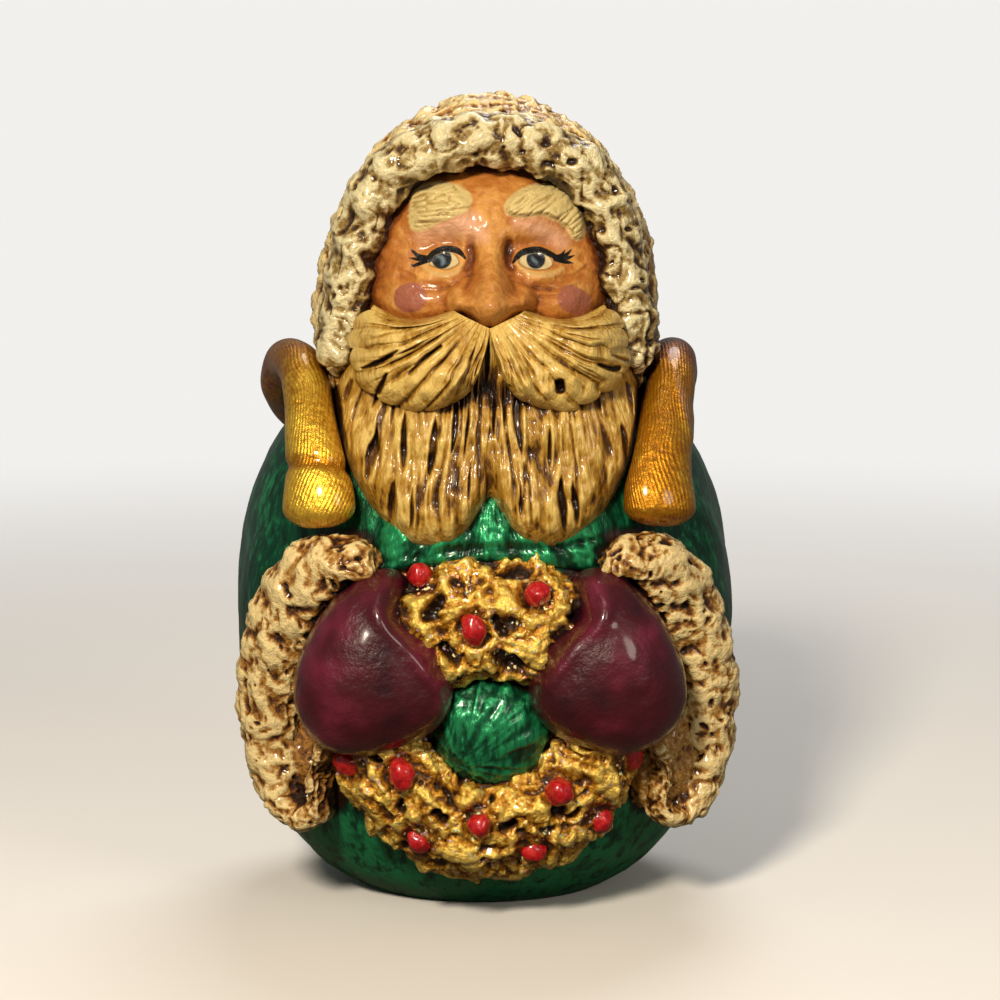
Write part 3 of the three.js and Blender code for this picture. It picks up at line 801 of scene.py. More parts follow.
across, z = np.meshgrid(np.linspace(-1, 1, 250), np.linspace(84, 110, 170))
x = across * (opening_half_width(z) + 2.5)
skin = surface_of(x, 0, z)
brows, whites = (np.maximum(*[patch(x, z, outline) for outline in pair]) for pair in (BROWS, WHITES))
cut_lines = (UPPER_LIDS, LOWER_LIDS, CREASES, WRINKLES, NOSTRILS)
upper_lids, lower_lids, creases, wrinkles, nostrils = (strokes(x, z, lines) for lines in cut_lines)
irises = np.minimum(strokes(x, z, IRISES), whites + 0.1)
# The left brow is combed straight across, and the right one up and outwards
combed = np.where(x < 0, z + 0.12 * x + 0.015 * x**2, 0.82 * z - 0.57 * x)
along_hair = surface_of(0.2 * x, 0, combed + 0.25 * noise(skin, 2.2, 51))
hair = np.abs(noise(along_hair, 0.65, 52) + 0.5 * noise(along_hair, 0.32, 55))
cut = ease(hair, 0.26, 0.06)
# The left one fades into the skin below it
carving = np.where(x < 0, ease(brows, -0.3, 2.0), ease(brows, -0.15, 0.8)) * (0.9 + 0.35 * hair - 0.25 * cut)
carving -= 0.06 * cut * ease(brows, -2.5, -0.5) * (x < 0)
carving += 0.35 * ease(lower_lids, -0.5, 0.25) + 0.25 * ease(upper_lids, -0.7, 0.2)
carving -= 0.35 * ease(whites, -0.2, 0.6) + 0.4 * ease(creases, -0.9, 0.2)
carving -= 0.3 * ease(nostrils, -0.6, 0.3) + 0.28 * ease(wrinkles, -0.45, 0.1)
carving += 0.16 * noise(skin, 2.6, 53) + 0.13 * noise(skin, 1.1, 54)
face = surface_of(x, face_front(x, z) - carving, z)
face_hollow = 0.3 * crease(face, FRONT) + 0.9 * np.maximum(sunken(face, FRONT, 6), -0.15)
face_hollow += 0.1 * ease(creases, -1.0, 0.2) + 0.03 * ease(wrinkles, -0.3, 0.1) - 0.1
# The sides of the face next to the rim are darker: glaze with painted shade
face_hollow += 0.4 * ease(np.abs(across), 0.7, 0.95) - 0.3 * (hair - 0.2) * ease(brows, -0.2, 0.2)
face_hollow += 0.16 * noise(skin, 4.5, 56) + 0.16 * mound(x, z, 0.2, 90, 6, 5)
# Orange-brown glaze over a flesh colour makes the skin look weathered, and the varnish on it is thick
flesh = hand_painted(
    "flesh acrylic under orange-brown glaze",
    ("6A3410", "A86628", "D69E52"),
    stroke=1.1,
    relief=0.35,
    roughness=0.38,
    varnish=0.28,
    grain=0.6,
)


def painted_shape(material, field, colour, soft):
    """Paints a colour on where the mesh's field is above zero, with an edge that is soft millimetres wide."""
    tree = material.node_tree
    inside = add_node(tree, "ShaderNodeAttribute", attribute_name=field).outputs["Fac"]
    brushed_on(material, ranged(tree, inside, -soft, soft), colour)


# What is painted on the face, in the order of painting: the colour, how soft its edge is and where it lies
FACE_PAINT = {
    "pale": ("D09C78", 1.1, strokes(x, z, PALE_SKIN)),
    "brow": ("D0BA7C", 0.25, brows + 0.2 * hair - 0.5 * (x < 0) * ease(x, -7, -3) * ease(z, 104.5, 101.5)),
    "brow_cuts": ("9A7C42", 0.35, np.where(brows > 0.15, cut - 0.8, -1)),
    # Painted shade under the nose, dark in the creases from its wings to its tip
    "nostril": ("5A2E12", 0.4, nostrils - 0.15),
    "blush": ("9A5C46", 0.15, strokes(x, z, BLUSH)),
    "lid": ("C39C60", 0.25, lower_lids),
    "white": ("C9B584", 0.08, whites),
    "liner": ("5A3618", 0.1, 0.06 - np.abs(whites + 0.02)),
    "black": ("0B0805", 0.05, np.maximum(upper_lids, strokes(x, z, LASHES))),
    "iris": ("151A22", 0.1, np.minimum(irises, -upper_lids)),
    "glint": ("61757F", 0.2, strokes(x, z, GLINTS)),
}
fields = {}
for field, (colour, soft, inside) in FACE_PAINT.items():
    painted_shape(flesh, field, colour, soft)
    fields[field] = inside
add_piece("face", face, FRONT, flesh, face_hollow, hidden=(0, -6, 95), fields=fields)


# Beard
# Thick straps of hair with long hollows gouged between them by a pointed tool. It falls from under the
# moustache in two rounded tips, straw-coloured with dark glaze in the gouges.
BEARD_ROOT_Z, BEARD_ROOT_HALF_WIDTH = 86, 17.5
BEARD_THICKNESS, BEARD_TIP_THICKNESS = 5.4, 7.2
BEARD_END = [(0, 62), (1.6, 60.4), (3.5, 57.6), (5.9, 55.8), (9, 55.3), (12, 56), (15, 58.4), (17.9, 61.8)]
BEARD_END += [(20.2, 66.2), (21.4, 71.4), (21.8, 77.6)]
BEARD_SPAN, BEARD_FALL = 42, 27


def beard_ground(x, z):
    """The front of the chin and throat under the beard, as y."""
    return -(25.6 + 0.12 * (84 - z)) * np.sqrt(np.maximum(0, 1 - (x / 27.5) ** 2))


def gouges(lane, fall, apart, long, wide, seed):
    """How deep a pointed tool has cut, from 0 to 1: slim hollows in rows, pointed at both ends. lane and
    fall are how far across and along the hair a place is."""
    deep = np.zeros(np.shape(lane))
    for row_step, column_step in np.ndindex(3, 3):
        row = np.floor(fall / long) + row_step - 1
        shift = 0.5 * (row % 2)
        column = np.floor(lane / apart - shift) + column_step - 1
        across_draw, along_draw, size = (chance(surface_of(column, row, 0), seed + n) for n in range(3))
        from_lane = np.abs(lane / apart - column - shift - 0.25 - 0.5 * across_draw) * apart
        from_middle = (fall / long - row - 0.2 - 0.6 * along_draw) / (0.22 + 0.3 * size)
        half = wide * (1.15 * size - 0.15) * np.clip(1 - from_middle**2, 0, 1)
        deep = np.maximum(deep, ease(half - from_lane, -0.1, 0.5 * wide) * (size > 0.2))
    return deep


def strands(lane, fall, apart, seed):
    """Round strands of hair, from 0 in the thin valleys between them up to 1."""
    place = surface_of(lane, 0.14 * fall, 0)
    line = noise(place, 1.5 * apart, seed) + 0.5 * noise(place, 0.7 * apart, seed + 1)
    return np.minimum(3 * np.abs(line), 1)


# Brushed straw and cream over gouged straps, with a satin varnish that draws a thin line along each one
straw = hand_painted(
    "gouged hair, straw acrylic over umber",
    ("56340C", "A87C28", "DAB966"),
    stroke=0.7,
    direction=(1, 1, 0.35),
    relief=0.42,
    roughness=0.36,
    varnish=0.6,
    grain=1.2,
)

across, down = np.meshgrid(np.linspace(0, 1, 330), np.linspace(0, 1, 170))
end = smooth_line([(-x, z) for x, z in BEARD_END[:0:-1]] + BEARD_END, across)
x = BEARD_ROOT_HALF_WIDTH * (2 * across - 1) * (1 - down) + end[..., 0] * down
z = BEARD_ROOT_Z + (end[..., 1] - BEARD_ROOT_Z) * down
lane, fall = BEARD_SPAN * across, BEARD_FALL * down
sway = 0.9 * noise(surface_of(lane, 0.5 * fall, 0), 5, 61)
sway += 0.2 * noise(surface_of(lane, 0.7 * fall, 1), 2, 62)
lane = lane + sway
# The hollows are bigger on the viewer's right
gouge = gouges(lane, fall, apart=2.4, long=8.6, wide=0.58 + 0.14 * ease(x, -4, 6), seed=63)
slit = gouges(lane, fall, apart=1.3, long=4.2, wide=0.24, seed=66)
strand = strands(lane, fall, apart=1.3, seed=67)
thread = noise(surface_of(lane, 0.3 * fall, 3), 0.6, 70)
dabs = noise(surface_of(x, 0, z), 1.2, 71)
swell = noise(surface_of(x, 0, 0.6 * z), 3.4, 60)
fade = 1 - 0.8 * ease(down, 0.86, 0.97)
pad = shoulder(2 * across - 1, 8) * shoulder(down, 9)
thickness = BEARD_THICKNESS + (BEARD_TIP_THICKNESS - BEARD_THICKNESS) * ease(down, 0.55, 0.9)
# It is thinner at the fork, and under the moustache
fork = 1 - 0.5 * mound(across, down, 0.5, 1.1, 0.04, 0.42) - 0.3 * mound(0, z, 0, 77.5, 1, 3.5)
carved = fade * (1.3 * gouge + 0.3 * slit - 0.6 * strand) - 0.16 * thread - 0.2 * dabs - 0.35 * swell
beard = surface_of(x, beard_ground(x, z) - pad * (thickness * fork - carved), z)
in_crease = crease(surface_of(x, beard_ground(x, z) - pad * thickness * fork, z), FRONT)
# The gouges are painted darker on the viewer's right, as painted shade on the side away from the light
beard_hollow = 0.9 * sunken(beard, FRONT, 5) + (0.2 + 0.3 * ease(x, -4, 6)) * gouge + 0.1 * slit
beard_hollow += 0.3 * (1 - strand) - 0.1 * thread - 0.04 * dabs
beard_hollow += 0.75 * in_crease + 0.14 * noise(surface_of(x, 0, z), 3.2, 72) - 0.06
add_piece("beard", beard, FRONT, straw, beard_hollow, hidden=(0, -8, 74))

# Moustache
# Two full lobes of the same hair, combed outwards from under the nose in thick straps, each with a rounded
# end. The left one is folded where it turns up, and the right one is stabbed through near its lower edge.
MOUSTACHE_THICKNESS = 6.0
MOUSTACHE_SPAN, MOUSTACHE_FALL = 26, 15
STRAP_WIDTH = 2.7
MOUSTACHE_END = [(16.6, 89.4), (19, 87.4), (20.4, 84), (20, 79.6), (16.8, 76.4), (11.6, 74.4), (6.6, 75.2)]
MOUSTACHE_END += [(3, 77.4), (1, 81.4)]
MOUSTACHE_CUTS = {
    "left": [
        [(-17.8, 80.7, 0.1), (-15.3, 81.9, 0.25), (-12.9, 83.5, 0.05)],
        [(-15.6, 77.5, 0.35), (-14.4, 80.2, 0.05)],
        [(-11.2, 80.4, 0.02), (-9.2, 82.4, 0.12), (-6.8, 84.2, 0.02)],
    ],
    "right": [
        [(9.7, 79, 0.6), (9.7, 78.2, 0.6)],
        [(15.2, 81.4, 0.05), (16.8, 80.7, 0.2), (18.2, 80.5, 0.3)],
        [(17.2, 82.6, 0.05), (19.9, 81.2, 0.3)],
    ],
}
for side, word in SIDES:
    across, down = np.meshgrid(np.linspace(0, 1, 210), np.linspace(0, 1, 110))
    end = smooth_line(MOUSTACHE_END, across)
    sag = 1.6 * np.sin(np.pi * down) * (1 - across) ** 2
    lane, fall = MOUSTACHE_SPAN * across, MOUSTACHE_FALL * down
    sway = 1.3 * noise(surface_of(lane, 0.5 * fall, side), 4.5, 73)
    sway += 0.4 * noise(surface_of(lane, fall, side), 1.8, 74)
    lane = lane + sway * ease(down, 0.05, 0.5)
    place = lane / STRAP_WIDTH
    round_strap = np.abs(np.cos(np.pi * place)) ** 0.6
    level = chance(surface_of(np.floor(place + 0.5), 0, side), 75)
    slit = gouges(lane, fall, apart=2.1, long=5, wide=0.34, seed=77 + side)
    strand = strands(lane, fall, apart=1.8, seed=85 + side)
    thread = noise(surface_of(lane, 0.3 * fall, side), 0.6, 80)
    # The straps are flat under the nose and grow outwards
    grown = ease(down, 0.05, 0.45)
    down = down * (1 - (0.05 * (1 - round_strap) + 0.05 * level) * ease(down, 0.6, 1))
    x = side * ((5 - 5.3 * across) * (1 - down) + end[..., 0] * down)
    z = (88.9 - 2.5 * across) * (1 - down) + end[..., 1] * down - sag
    cuts = ease(strokes(x, z, MOUSTACHE_CUTS[word]), -0.35, 0.3)
    pad = shoulder(2 * across - 1, np.where(across < 0.5, 3.4, 14)) * shoulder(down, 5)
    swell = MOUSTACHE_THICKNESS * (0.4 + 0.6 * np.sin(np.pi * (0.1 + 0.7 * down)))
    flat = surface_of(x, 0, z)
    dabs = noise(flat, 1.3, 83)
    rolls = 0.4 * noise(flat, 3.2, 82) + 0.35 * dabs
    rolls += 1.5 * noise(surface_of(lane, 0.35 * fall, side), 3.2, 84)
    carved = grown * (0.8 * (1 - round_strap) + 0.5 * slit - 0.8 * level - rolls) - 0.12 * thread + 1.5 * cuts
    carved -= (0.15 + 0.35 * grown) * strand
    ground = beard_ground(x, z) - 2 - 1.1 * ease(down, 0.2, 0.7)
    moustache = surface_of(x, ground - pad * (swell - carved), z)
    in_crease = crease(surface_of(x, ground - pad * swell, z), FRONT)
    hollow = 0.9 * sunken(moustache, FRONT, 5) + grown * (0.16 * slit + 0.12 * (1 - round_strap)) + 0.9 * cuts
    hollow += 0.6 * in_crease - 0.08 * thread + 0.22 * noise(flat, 2.6, 81) - 0.26
    hollow += (0.1 + 0.1 * grown) * (1 - strand) - 0.12 * dabs + 0.5 * ease(across, 0.94, 1.0)
    add_piece(f"moustache_{word}", moustache, FRONT, straw, hollow, hidden=(side * 8, -10, 83))

# Collar
# One padded roll from chest to chest, over the shoulders and round the back of the neck, plump at both
# ends. It is gold paint dragged with a stiff brush, browner where the glaze was left on, and darker with
# painted shade towards the back and on the viewer's right.
COLLAR_THICKNESS = 3.7
COLLAR_FOOT = 8.5
COLLAR_FRONT_Y = -8
COLLAR_LINE = [(24, -27.6, 58.2, 5.2), (24.2, -26.4, 63.4, 4.9), (25.2, -22.2, 70.2, 4.1)]
COLLAR_LINE += [(26.5, -14, 78.2, 3.4), (28.2, -5, 79.8, 3.6), (29.4, 4, 76, 4), (25.6, 14.5, 70.6, 4.6)]
COLLAR_LINE += [(15, 22, 67.4, 4.8), (0, 24.6, 66.4, 4.8)]
COLLAR_FOLD = [(26.8, 79.6, 0.1), (28.4, 74, 0.5), (30, 69, 0.5), (30.4, 63, 0.1)]
# Behind the shoulders it lies a millimetre further to the viewer's left
line = [(x - min(max(1 + y / 14, 0), 1), y, z, width) for x, y, z, width in mirrored(COLLAR_LINE)]
collar, along, across = padded_bar(
    line, 270, 60, COLLAR_THICKNESS, 0.035, lambda at: at * [0.45, 1, 0] + [0, 0, 5]
)
in_crease = crease(collar, TUBE)
from_end = np.minimum(along, along.max() - along)
x, y, z = np.moveaxis(collar, -1, 0)
left = x < 0
# The left end is pinched above its foot, and the right one has a long fold down its outer side
pinch = np.exp(-(((from_end - COLLAR_FOOT + 0.3 * across) / 0.9) ** 2)) * left
foot = mound(from_end, 0, 0.45 * COLLAR_FOOT, 0, 0.45 * COLLAR_FOOT, 1)
fold = ease(stroke(x, z, COLLAR_FOLD), -0.9, 0.2) * (y < COLLAR_FRONT_Y)
collar = raised(collar, TUBE, 0.35 * foot - 0.45 * pinch + 0.4 * fold + 0.3 * noise(collar, 6, 76))
# Metal flakes in the paint give broad warm highlights that break up along the brush's fine arcs
gold = hand_painted(
    "gold acrylic, dragged brush",
    ("6A3206", "B5780F", "F0C440"),
    stroke=0.9,
    relief=0.3,
    metal=0.7,
    roughness=0.36,
    varnish=0.5,
    grain=0.9,
    arcs=0.5,
)
x, y, z = np.moveaxis(collar, -1, 0)
# It is painted darker and browner towards the back and on the viewer's right: painted shade where it turns
# from the light
collar_hollow = 0.9 * in_crease + 0.5 * ease(y, -22, COLLAR_FRONT_Y) + 0.32 * ease(x, -9, 9) - 0.3
collar_hollow += 0.16 * noise(collar, 4, 77) + 0.35 * pinch + 0.2 * (1 - left) * ease(from_end, 4, 0)
# A pale pinkish painted highlight along the front of the fold on the viewer's right
worn = np.where(y < COLLAR_FRONT_Y, stroke(x, z, COLLAR_FOLD) - 0.1, -9)
painted_shape(gold, "worn", "A07A5C", soft=0.5)
add_piece("collar", collar, TUBE, gold, collar_hollow, fields={"worn": worn})

# Cuffs
# Thick bands of the same fur as the hood, each curling round a wrist from the chest to under the hand,
# where its edge turns up again round a dark hollow that is lined with the same fur.
CUFF_THICKNESS = 4.3
CUFF_LINE = [(15.6, -29.6, 51.6, 1.6), (19.4, -28.6, 53.4, 3.6), (24.6, -25.8, 51.2, 5.3)]
CUFF_LINE += [(28.6, -22.4, 45, 5.6), (31, -20, 37.6, 5.3), (31.6, -19, 30, 4.9), (31, -18.8, 23, 4.4)]
CUFF_LINE += [(28.4, -20.2, 17, 3.3), (25.2, -22.6, 16, 2.1), (23.8, -23.6, 19, 1.4)]
CUFF_LINE += [(23.8, -24.8, 23.4, 1.2), (22.8, -27.6, 28.4, 1.1)]
for side, word in SIDES:
    line = [(side * x, y, z, width) for x, y, z, width in CUFF_LINE]
    cuff, along, across = padded_bar(
        line, 270, 106, CUFF_THICKNESS, 0.05, lambda at: at * [0.65, 1.3, 0.4] - [0, 0, 14]
    )
    in_crease = crease(cuff, TUBE)
    cuff, cuff_hollow = poked_fur(
        cuff, TUBE, 300 + 30 * side, curl=2.2, fat=0.75, depth=0.45, apart=1.9, wide=0.6, dents=0.45
    )
    # Its edges and both ends are painted browner, as painted shade where it turns away, where it meets the
    # chest and where it runs into the hollow
    cuff_hollow += 0.9 * in_crease + 0.25 * ease(np.abs(across), 2.4, 4.2)
    cuff_hollow += 0.25 * ease(along, 12, 3) + 0.25 * ease(along, 46, 56)
    add_piece(f"cuff_{word}", cuff, TUBE, fur_ochre, cuff_hollow)
    # The lining nearly fills the right hollow
    full = max(side, 0)
    lining = ball(66, 48, middle=(side * 24.6, -18 - full, 23), reach=(6.4, 5 + 2.4 * full, 8.5))
    lining, lining_hollow = poked_fur(lining, TUBE, 370 + 30 * side, curl=2.0, fat=0.6, depth=0.5)
    # The lining is painted dark as painted shade in the hollow, less so on the right, where it nearly fills
    # it
    lining_hollow = np.clip(lining_hollow, -0.2, 0.5) + 0.4 - 0.22 * full
    add_piece(f"cuff_lining_{word}", lining, TUBE, fur_ochre, lining_hollow)

# Mittens
# Smooth full hands that narrow upwards. A crest sets the thumb off from the palm on the inner side, where
# the wreath is held. They are maroon paint with plum and rose wiped into it, under thick gloss varnish.
MITTEN_MIDDLE = (16.7, -31.2, 39.6)
MITTEN_REACH = (10.3, 9, 13.3)
MITTEN_LEAN = -1.9
THUMB_CREST = [(13.8, 52.6), (15, 50.8), (15.8, 48.6), (14.6, 46), (11.6, 43.2), (7.4, 37.6)]
# The varnish is smooth, so lights show as clear streaks on a colour that stays dark
maroon = hand_painted(
    "maroon acrylic, gloss varnished",
    ("16030B", "400915", "76203A"),
    stroke=1.6,
    relief=0.3,
    roughness=0.4,
    varnish=0.65,
)
for side, word in SIDES:
    x, y, z = np.moveaxis(ball(110, 80), -1, 0)
    # A dent sets off the thumb, and the fingers reach in over the belly
    dent = 3.2 * mound(x, z, -0.64, 0.6, 0.36, 0.27)
    fingers = mound(x, z, -0.72, -0.48, 0.5, 0.5)
    (palm_x, palm_y, palm_z), (reach_x, reach_y, reach_z) = MITTEN_MIDDLE, MITTEN_REACH
    palm_x = palm_x + MITTEN_LEAN * z + reach_x * (1 - 0.2 * z) * x + 0.5 * dent - 2.2 * fingers
    palm_z = palm_z + reach_z * z
    crest_line = [(x, z, 0) for x, z in THUMB_CREST]
    crest = 0.9 * np.exp(-((stroke(palm_x, palm_z, crest_line) / 1.1) ** 2)) * ease(-y, 0.1, 0.5)
    palm_y = palm_y + reach_y * y * (1 - 0.12 * z) + np.where(y < 0, dent - fingers, 0) - crest
    mitten = surface_of(side * palm_x, palm_y, palm_z)
    mitten = raised(mitten, TUBE, 0.2 * noise(mitten, 4.5, 82) + 0.1 * noise(mitten, 1.8, 83))
    # Lighter along the thumb's crest: a painted highlight
    mitten_hollow = 0.45 * crease(mitten, TUBE) - 0.2 * crest
    mitten_hollow += 0.25 * noise(mitten, 7, 84) + 0.15 * noise(mitten, 2.5, 85)
    add_piece(f"mitten_{word}", mitten, TUBE, maroon, mitten_hollow)

# Wreath
# A fat ring of crumpled leaves that lies on the belly between the hands, stabbed through with deep holes.
# It is bright gold paint, left dark in the holes, with coarse glitter in the varnish.
WREATH_Z, WREATH_RING = 30.4, 15.8
WREATH_HALF_WIDTH, WREATH_THICKNESS = 8.5, 5.4
GLITTER = 0.4
BERRY_RADIUS, BERRY_UNEVENNESS = 2.2, 1.1
BERRIES = [(-9.7, 52), (6.5, 49.8), (-2.4, 45.2), (-19.8, 24.8), (-12.4, 24.4), (9.4, 21.8), (19.8, 25.8)]
BERRIES += [(-1.6, 17.2), (-10, 14.2), (6, 12.8), (15.6, 16.4)]
# The biggest holes, which catch the eye between the upper berries and in the lower half
WREATH_HOLES = [
    [(-8.7, 47.0, 0.75), (-7.2, 49.2, 0.6)],
    [(-6.6, 42.6, 0.5), (-5.0, 40.8, 0.6)],
    [(0.6, 46.6, 0.5), (1.8, 44.6, 0.6)],
    [(3.0, 41.4, 0.4), (4.2, 39.8, 0.5)],
    [(-7.6, 18.4, 0.6), (-6.8, 17.4, 0.6)],
    [(1.6, 15.6, 0.4), (3.2, 16.6, 0.5)],
    [(11.4, 17.4, 0.5), (12.4, 18.4, 0.4)],
]


def leaves(points, pitch, seed):
    """Irregular plates about one pitch wide that lie over each other: how deep each point lies in its own
    plate, from 0 at the border with the next one, and the height of the plate, which tilts its own way."""
    nearest = second = np.full(points.shape[:-1], 9.0)
    level = np.zeros(points.shape[:-1])
    for _, away, way in cells_near(points / pitch, seed):
        far = np.linalg.norm(away, axis=-1)
        closer = far < nearest
        second = np.where(closer, nearest, np.minimum(second, far))
        level = np.where(closer, -np.sum(away * way, axis=-1), level)
        nearest = np.where(closer, far, nearest)
    return second - nearest, level


def belly_out(points):
    """The way out of the belly, which leans up or down with the height."""
    return unit(points * [0.7, 1, 0.75] - [0, 0, 0.75 * ROBE_WAIST])


def wreath_middle(turn):
    """The line through the middle of the ring, which lies on the robe."""
    x = WREATH_RING * np.sin(turn)
    z = WREATH_Z + WREATH_RING * np.cos(turn)
    return surface_of(x, robe_front(x, z), z)


turn = np.linspace(0, 2 * np.pi, 400, endpoint=False)
around = np.linspace(0, 2 * np.pi, 160, endpoint=False)[None, :, None]
middle = wreath_middle(turn)
along = wreath_middle(turn + 0.01) - wreath_middle(turn - 0.01)
sideways = unit(np.cross(along, belly_out(middle)))
outwards = unit(np.cross(sideways, along))
half_width = (WREATH_HALF_WIDTH * (0.76 + 0.24 * np.abs(np.cos(turn))))[:, None, None]
wide = half_width * sideways[:, None] * np.cos(around)
wreath = middle[:, None] + wide + WREATH_THICKNESS * outwards[:, None] * np.sin(around)
in_crease = crease(wreath, RING)
loose = wandering(wandering(wreath, 5, 1.6, 91), 2, 0.5, 94)
gap, plate = leaves(loose, 4.4, 97)
# The leaves' folds run along the ring like strands of a rope
drawn = loose - 0.65 * middle[:, None]
curls = ridged(drawn, 1.9, 102)
veins = ridged(drawn, 0.9, 103)
hole = stabs(wreath, 5.2, 2.0, 104)
nick = stabs(wreath, 2.4, 0.8, 111)
wreath_x, wreath_y, wreath_z = np.moveaxis(wreath, -1, 0)
in_front = wreath_y < middle[:, None, 1]
hole = np.maximum(hole, 1.1 * ease(strokes(wreath_x, wreath_z, WREATH_HOLES), -0.5, 0.4) * in_front)
# Each berry sits in a dark ring, where the leaves are pressed down
near_berry = np.minimum.reduce([np.hypot(wreath_x - x, wreath_z - z) for x, z in BERRIES])
pressed = ease(near_berry, 3.2, 2.0) * in_front
cracks = 1 - np.minimum(5 * np.abs(noise(loose, 2.4, 120)), 1)
leaf_height = 0.8 * lumps(wreath, 6.8) + 0.9 * plate + 0.3 * ease(gap, 0, 0.3) + 0.45 * curls + 0.3 * veins
leaf_height += 0.35 * noise(loose, 1.2, 119) - 0.4 * cracks - 2.2 * hole - 0.7 * nick
leaf_height = leaf_height * (1 - 0.7 * pressed) - 0.5 * pressed
wreath = raised(wreath, RING, leaf_height)
leaf_gold = hand_painted(
    "leaf gold paint, glitter varnish",
    ("5C360A", "B87C16", "F0CC60"),
    stroke=0.8,
    relief=0.5,
    metal=0.55,
    roughness=0.34,
    varnish=0.5,
    grain=2.0,
)
# Flakes of glitter lie in patches, and each has a colour of its own, painted pale and bright as painted
# glints
tree = leaf_gold.node_tree
place = add_node(tree, "ShaderNodeTexCoord").outputs["Object"]
flakes = add_node(tree, "ShaderNodeTexVoronoi", {"Vector": place, "Scale": 1 / (GLITTER * MM)})
tint, draw, _ = add_node(tree, "ShaderNodeSeparateColor", {0: flakes.outputs["Color"]}).outputs
patches = add_node(tree, "ShaderNodeTexNoise", {"Vector": place, "Scale": 0.12 / MM, "Detail": 1.0})
rare = ranged(tree, patches.outputs["Fac"], 0.4, 0.65, 0.995, 0.88)
flake = worked_out(tree, "GREATER_THAN", draw, rare)
for start, colour in ((0.0, "FFE9A0"), (0.5, "D8B8C8"), (0.72, "B8D8A8"), (0.85, "FFB088")):
    later = worked_out(tree, "GREATER_THAN", tint, start)
    brushed_on(leaf_gold, worked_out(tree, "MULTIPLY", flake, later), colour)
wreath_hollow = 0.6 * sunken(wreath, RING, 6) + 0.8 * in_crease + 0.25 * pressed + 0.7 * hole + 0.4 * nick
wreath_hollow += 0.2 * cracks + 0.2 * ease(gap, 0.12, 0) - 0.16 * curls - 0.12 * veins
wreath_hollow += 0.16 * noise(wreath, 5, 118) + 0.08
add_piece("wreath", wreath, RING, leaf_gold, wreath_hollow)

# Berries
# Beads of resin pressed into the wreath, each a little out of round and tilted its own way, and painted
# with red enamel.
berry_red = hand_painted(
    "berry red enamel",
    ("5A0508", "A80E16", "DC3A34"),
    stroke=1.1,
    relief=0.3,
    roughness=0.25,
    varnish=0.8,
    grain=1.5,
)
seats = []
for x, z in BERRIES:
    from_crest = (math.hypot(x, z - WREATH_Z) - WREATH_RING) / (WREATH_HALF_WIDTH + 1)
    seat = np.array([x, float(robe_front(x, z)), z])
    seat = seat + belly_out(seat) * WREATH_THICKNESS * math.sqrt(max(0.1, 1 - from_crest**2))
    # Each is pressed in to its middle, wherever the leaves are
    nearby = np.linalg.norm((wreath - seat)[..., [0, 2]], axis=-1) < 1.2
    seats.append(np.array([x, wreath[nearby][:, 1].min(), z]) + 0.7 * belly_out(seat))
berry_mesh = bpy.data.meshes.new("berries")
berry_mesh.from_pydata([tuple(seat * MM) for seat in seats], [], [])
berries = put_in_scene("berries", berry_mesh)
berry_tree = bpy.data.node_groups.new("berries", "GeometryNodeTree")
for label, sort in (("Seats", "Geometry"), ("Radius", "Float"), ("Unevenness", "Float"), ("Seed", "Int")):
    berry_tree.interface.new_socket(label, in_out="INPUT", socket_type=f"NodeSocket{sort}")
berry_tree.interface.new_socket("Berries", in_out="OUTPUT", socket_type="NodeSocketGeometry")
given = add_node(berry_tree, "NodeGroupInput").outputs


def drawn_at_random(low, high):
    """Three numbers between low and high, drawn for each berry."""
    span = {"Min": low, "Max": high, "Seed": given["Seed"]}
    return add_node(berry_tree, "FunctionNodeRandomValue", span, data_type="FLOAT_VECTOR").outputs[0]


bead = add_node(berry_tree, "GeometryNodeMeshIcoSphere", {"Radius": given["Radius"], "Subdivisions": 4})
placed = {
    "Points": given["Seats"],
    "Instance": bead.outputs[0],
    "Rotation": drawn_at_random((0, 0, 0), (6.28, 6.28, 6.28)),
    "Scale": drawn_at_random((0.88, 0.68, 0.78), (1.08, 0.92, 1.0)),
}
placed = add_node(berry_tree, "GeometryNodeInstanceOnPoints", placed).outputs[0]
solid = add_node(berry_tree, "GeometryNodeRealizeInstances", {0: placed}).outputs[0]
bumps = add_node(berry_tree, "ShaderNodeTexNoise", {"Scale": 0.45 / MM, "Detail": 1.0}).outputs["Fac"]
bumps = worked_out(berry_tree, "SUBTRACT", bumps, 0.5)
bumps = worked_out(berry_tree, "MULTIPLY", bumps, given["Unevenness"])
way = add_node(berry_tree, "GeometryNodeInputNormal").outputs[0]
push = add_node(berry_tree, "ShaderNodeVectorMath", {0: way, "Scale": bumps}, operation="SCALE").outputs[0]
shaped = add_node(berry_tree, "GeometryNodeSetPosition", {0: solid, "Offset": push}).outputs[0]
smooth = add_node(berry_tree, "GeometryNodeSetShadeSmooth", {0: shaped}).outputs[0]
coloured = add_node(berry_tree, "GeometryNodeSetMaterial", {0: smooth, "Material": berry_red}).outputs[0]
add_node(berry_tree, "NodeGroupOutput", {0: coloured})
maker = berries.modifiers.new("berries", "NODES")
maker.node_group = berry_tree
berry_settings = {"Radius": BERRY_RADIUS * MM, "Unevenness": BERRY_UNEVENNESS * MM, "Seed": 7}
for socket in berry_tree.interface.items_tree:
    if socket.name in berry_settings:
        maker[socket.identifier] = berry_settings[socket.name]
bpy.context.view_layer.update()
made = berries.evaluated_get(bpy.context.evaluated_depsgraph_get())
finished = bpy.data.meshes.new_from_object(made)
berries.modifiers.clear()
berries.data = finished
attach(berries, "root")
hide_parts(CASTING)

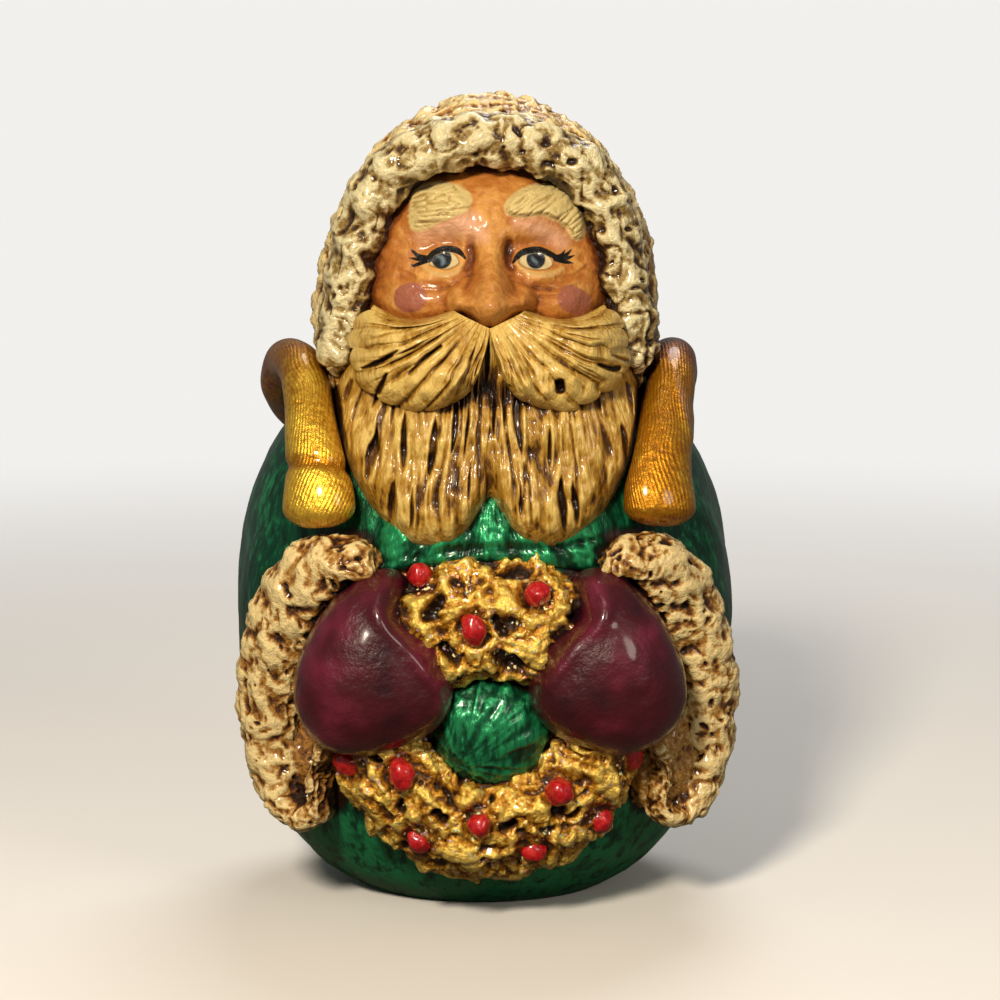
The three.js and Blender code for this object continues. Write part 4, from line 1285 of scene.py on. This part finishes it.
# Studio
# A pale table that fades into a plain pale background, a soft key light from the upper left, a weaker one
# from the right and one from above and behind. The sizes of the table and lights are in metres.
studio = bpy.context.scene
TABLE_RADIUS, TABLE_FADE = 0.6, 0.12
table_mesh = bpy.data.meshes.new("table")
turns = np.linspace(0, 2 * np.pi, 64, endpoint=False)
edge = np.stack([np.cos(turns), np.sin(turns), 0 * turns], axis=-1) * TABLE_RADIUS
table_mesh.from_pydata(edge.tolist(), [], [range(len(turns))])
table = put_in_scene("table", table_mesh)
paper = bpy.data.materials.new("pale table paper")
paper.use_nodes = True
tree = paper.node_tree
# It throws little light back on the figurine, whose lower half stays deep in colour
seen = add_node(tree, "ShaderNodeLightPath").outputs["Is Camera Ray"]
tone = {FACTOR: seen, UNDER: paint("565048"), OVER: paint("E9E6E1")}
tone = add_node(tree, "ShaderNodeMix", tone, data_type="RGBA").outputs[MIXED]
tree.links.new(tone, tree.nodes["Principled BSDF"].inputs["Base Color"])
tree.nodes["Principled BSDF"].inputs["Roughness"].default_value = 0.9
place = add_node(tree, "ShaderNodeTexCoord").outputs["Object"]
from_middle = add_node(tree, "ShaderNodeVectorMath", {0: place}, operation="LENGTH").outputs["Value"]
fade = (TABLE_FADE, TABLE_RADIUS - 0.05, 1.0, 0.0)
cover = ranged(tree, from_middle, *fade, interpolation_type="SMOOTHSTEP")
tree.links.new(cover, tree.nodes["Principled BSDF"].inputs["Alpha"])
table_mesh.materials.append(paper)

# The background is pale where it is seen, but it lights the figurine only weakly, so its colours stay deep
studio.world = bpy.data.worlds.new("studio")
studio.world.use_nodes = True
tree = studio.world.node_tree
seen = add_node(tree, "ShaderNodeLightPath").outputs["Is Camera Ray"]
tree.nodes["Background"].inputs["Color"].default_value = paint("FAF8F5")
tree.links.new(ranged(tree, seen, 0.0, 1.0, 0.15, 0.93), tree.nodes["Background"].inputs["Strength"])
studio.view_settings.view_transform = "Standard"

TARGET = Vector((2.2, 0, 58.2)) * MM
LIGHT_DISTANCE = 0.6


def direction(azimuth, elevation):
    """The way from the figurine to a lamp or camera. Azimuth 0 is straight in front of the face."""
    a, e = math.radians(azimuth), math.radians(elevation)
    return Vector((math.sin(a) * math.cos(e), -math.cos(a) * math.cos(e), math.sin(e)))


def look_from(thing, away, distance):
    """Puts a light or camera that way from the figurine and turns it to look at it."""
    thing.location = TARGET + away * distance
    thing.rotation_euler = (-away).to_track_quat("-Z", "Y").to_euler()


def add_light(name, away, size, power, colour):
    """A round soft light that looks at the figurine."""
    light = bpy.data.lights.new(name, "AREA")
    light.shape = "DISK"
    light.size = size
    light.energy = power
    light.color = paint(colour)[:3]
    look_from(put_in_scene(name, light), away, LIGHT_DISTANCE)


add_light("key", direction(-18, 32), size=0.1, power=4.0, colour="FFF0DA")
add_light("fill", direction(38, 20), size=0.2, power=0.7, colour="FFF2E2")
add_light("back", direction(165, 60), size=0.3, power=1.5, colour="FFFFFF")

# The photograph was taken almost straight in front, from a little above, at about arm's length. Its scale
# is in pixels to a millimetre
CAMERA_DISTANCE = 400
SCALE_AT_TARGET = 6.59
PHOTO_WIDTH = 1000
lens = bpy.data.cameras.new("camera")
lens.sensor_width = 36
lens.lens = lens.sensor_width * SCALE_AT_TARGET * CAMERA_DISTANCE / PHOTO_WIDTH
lens.clip_start = 0.01
studio.camera = put_in_scene("camera", lens)
look_from(studio.camera, direction(-1.5, 8), CAMERA_DISTANCE * MM)
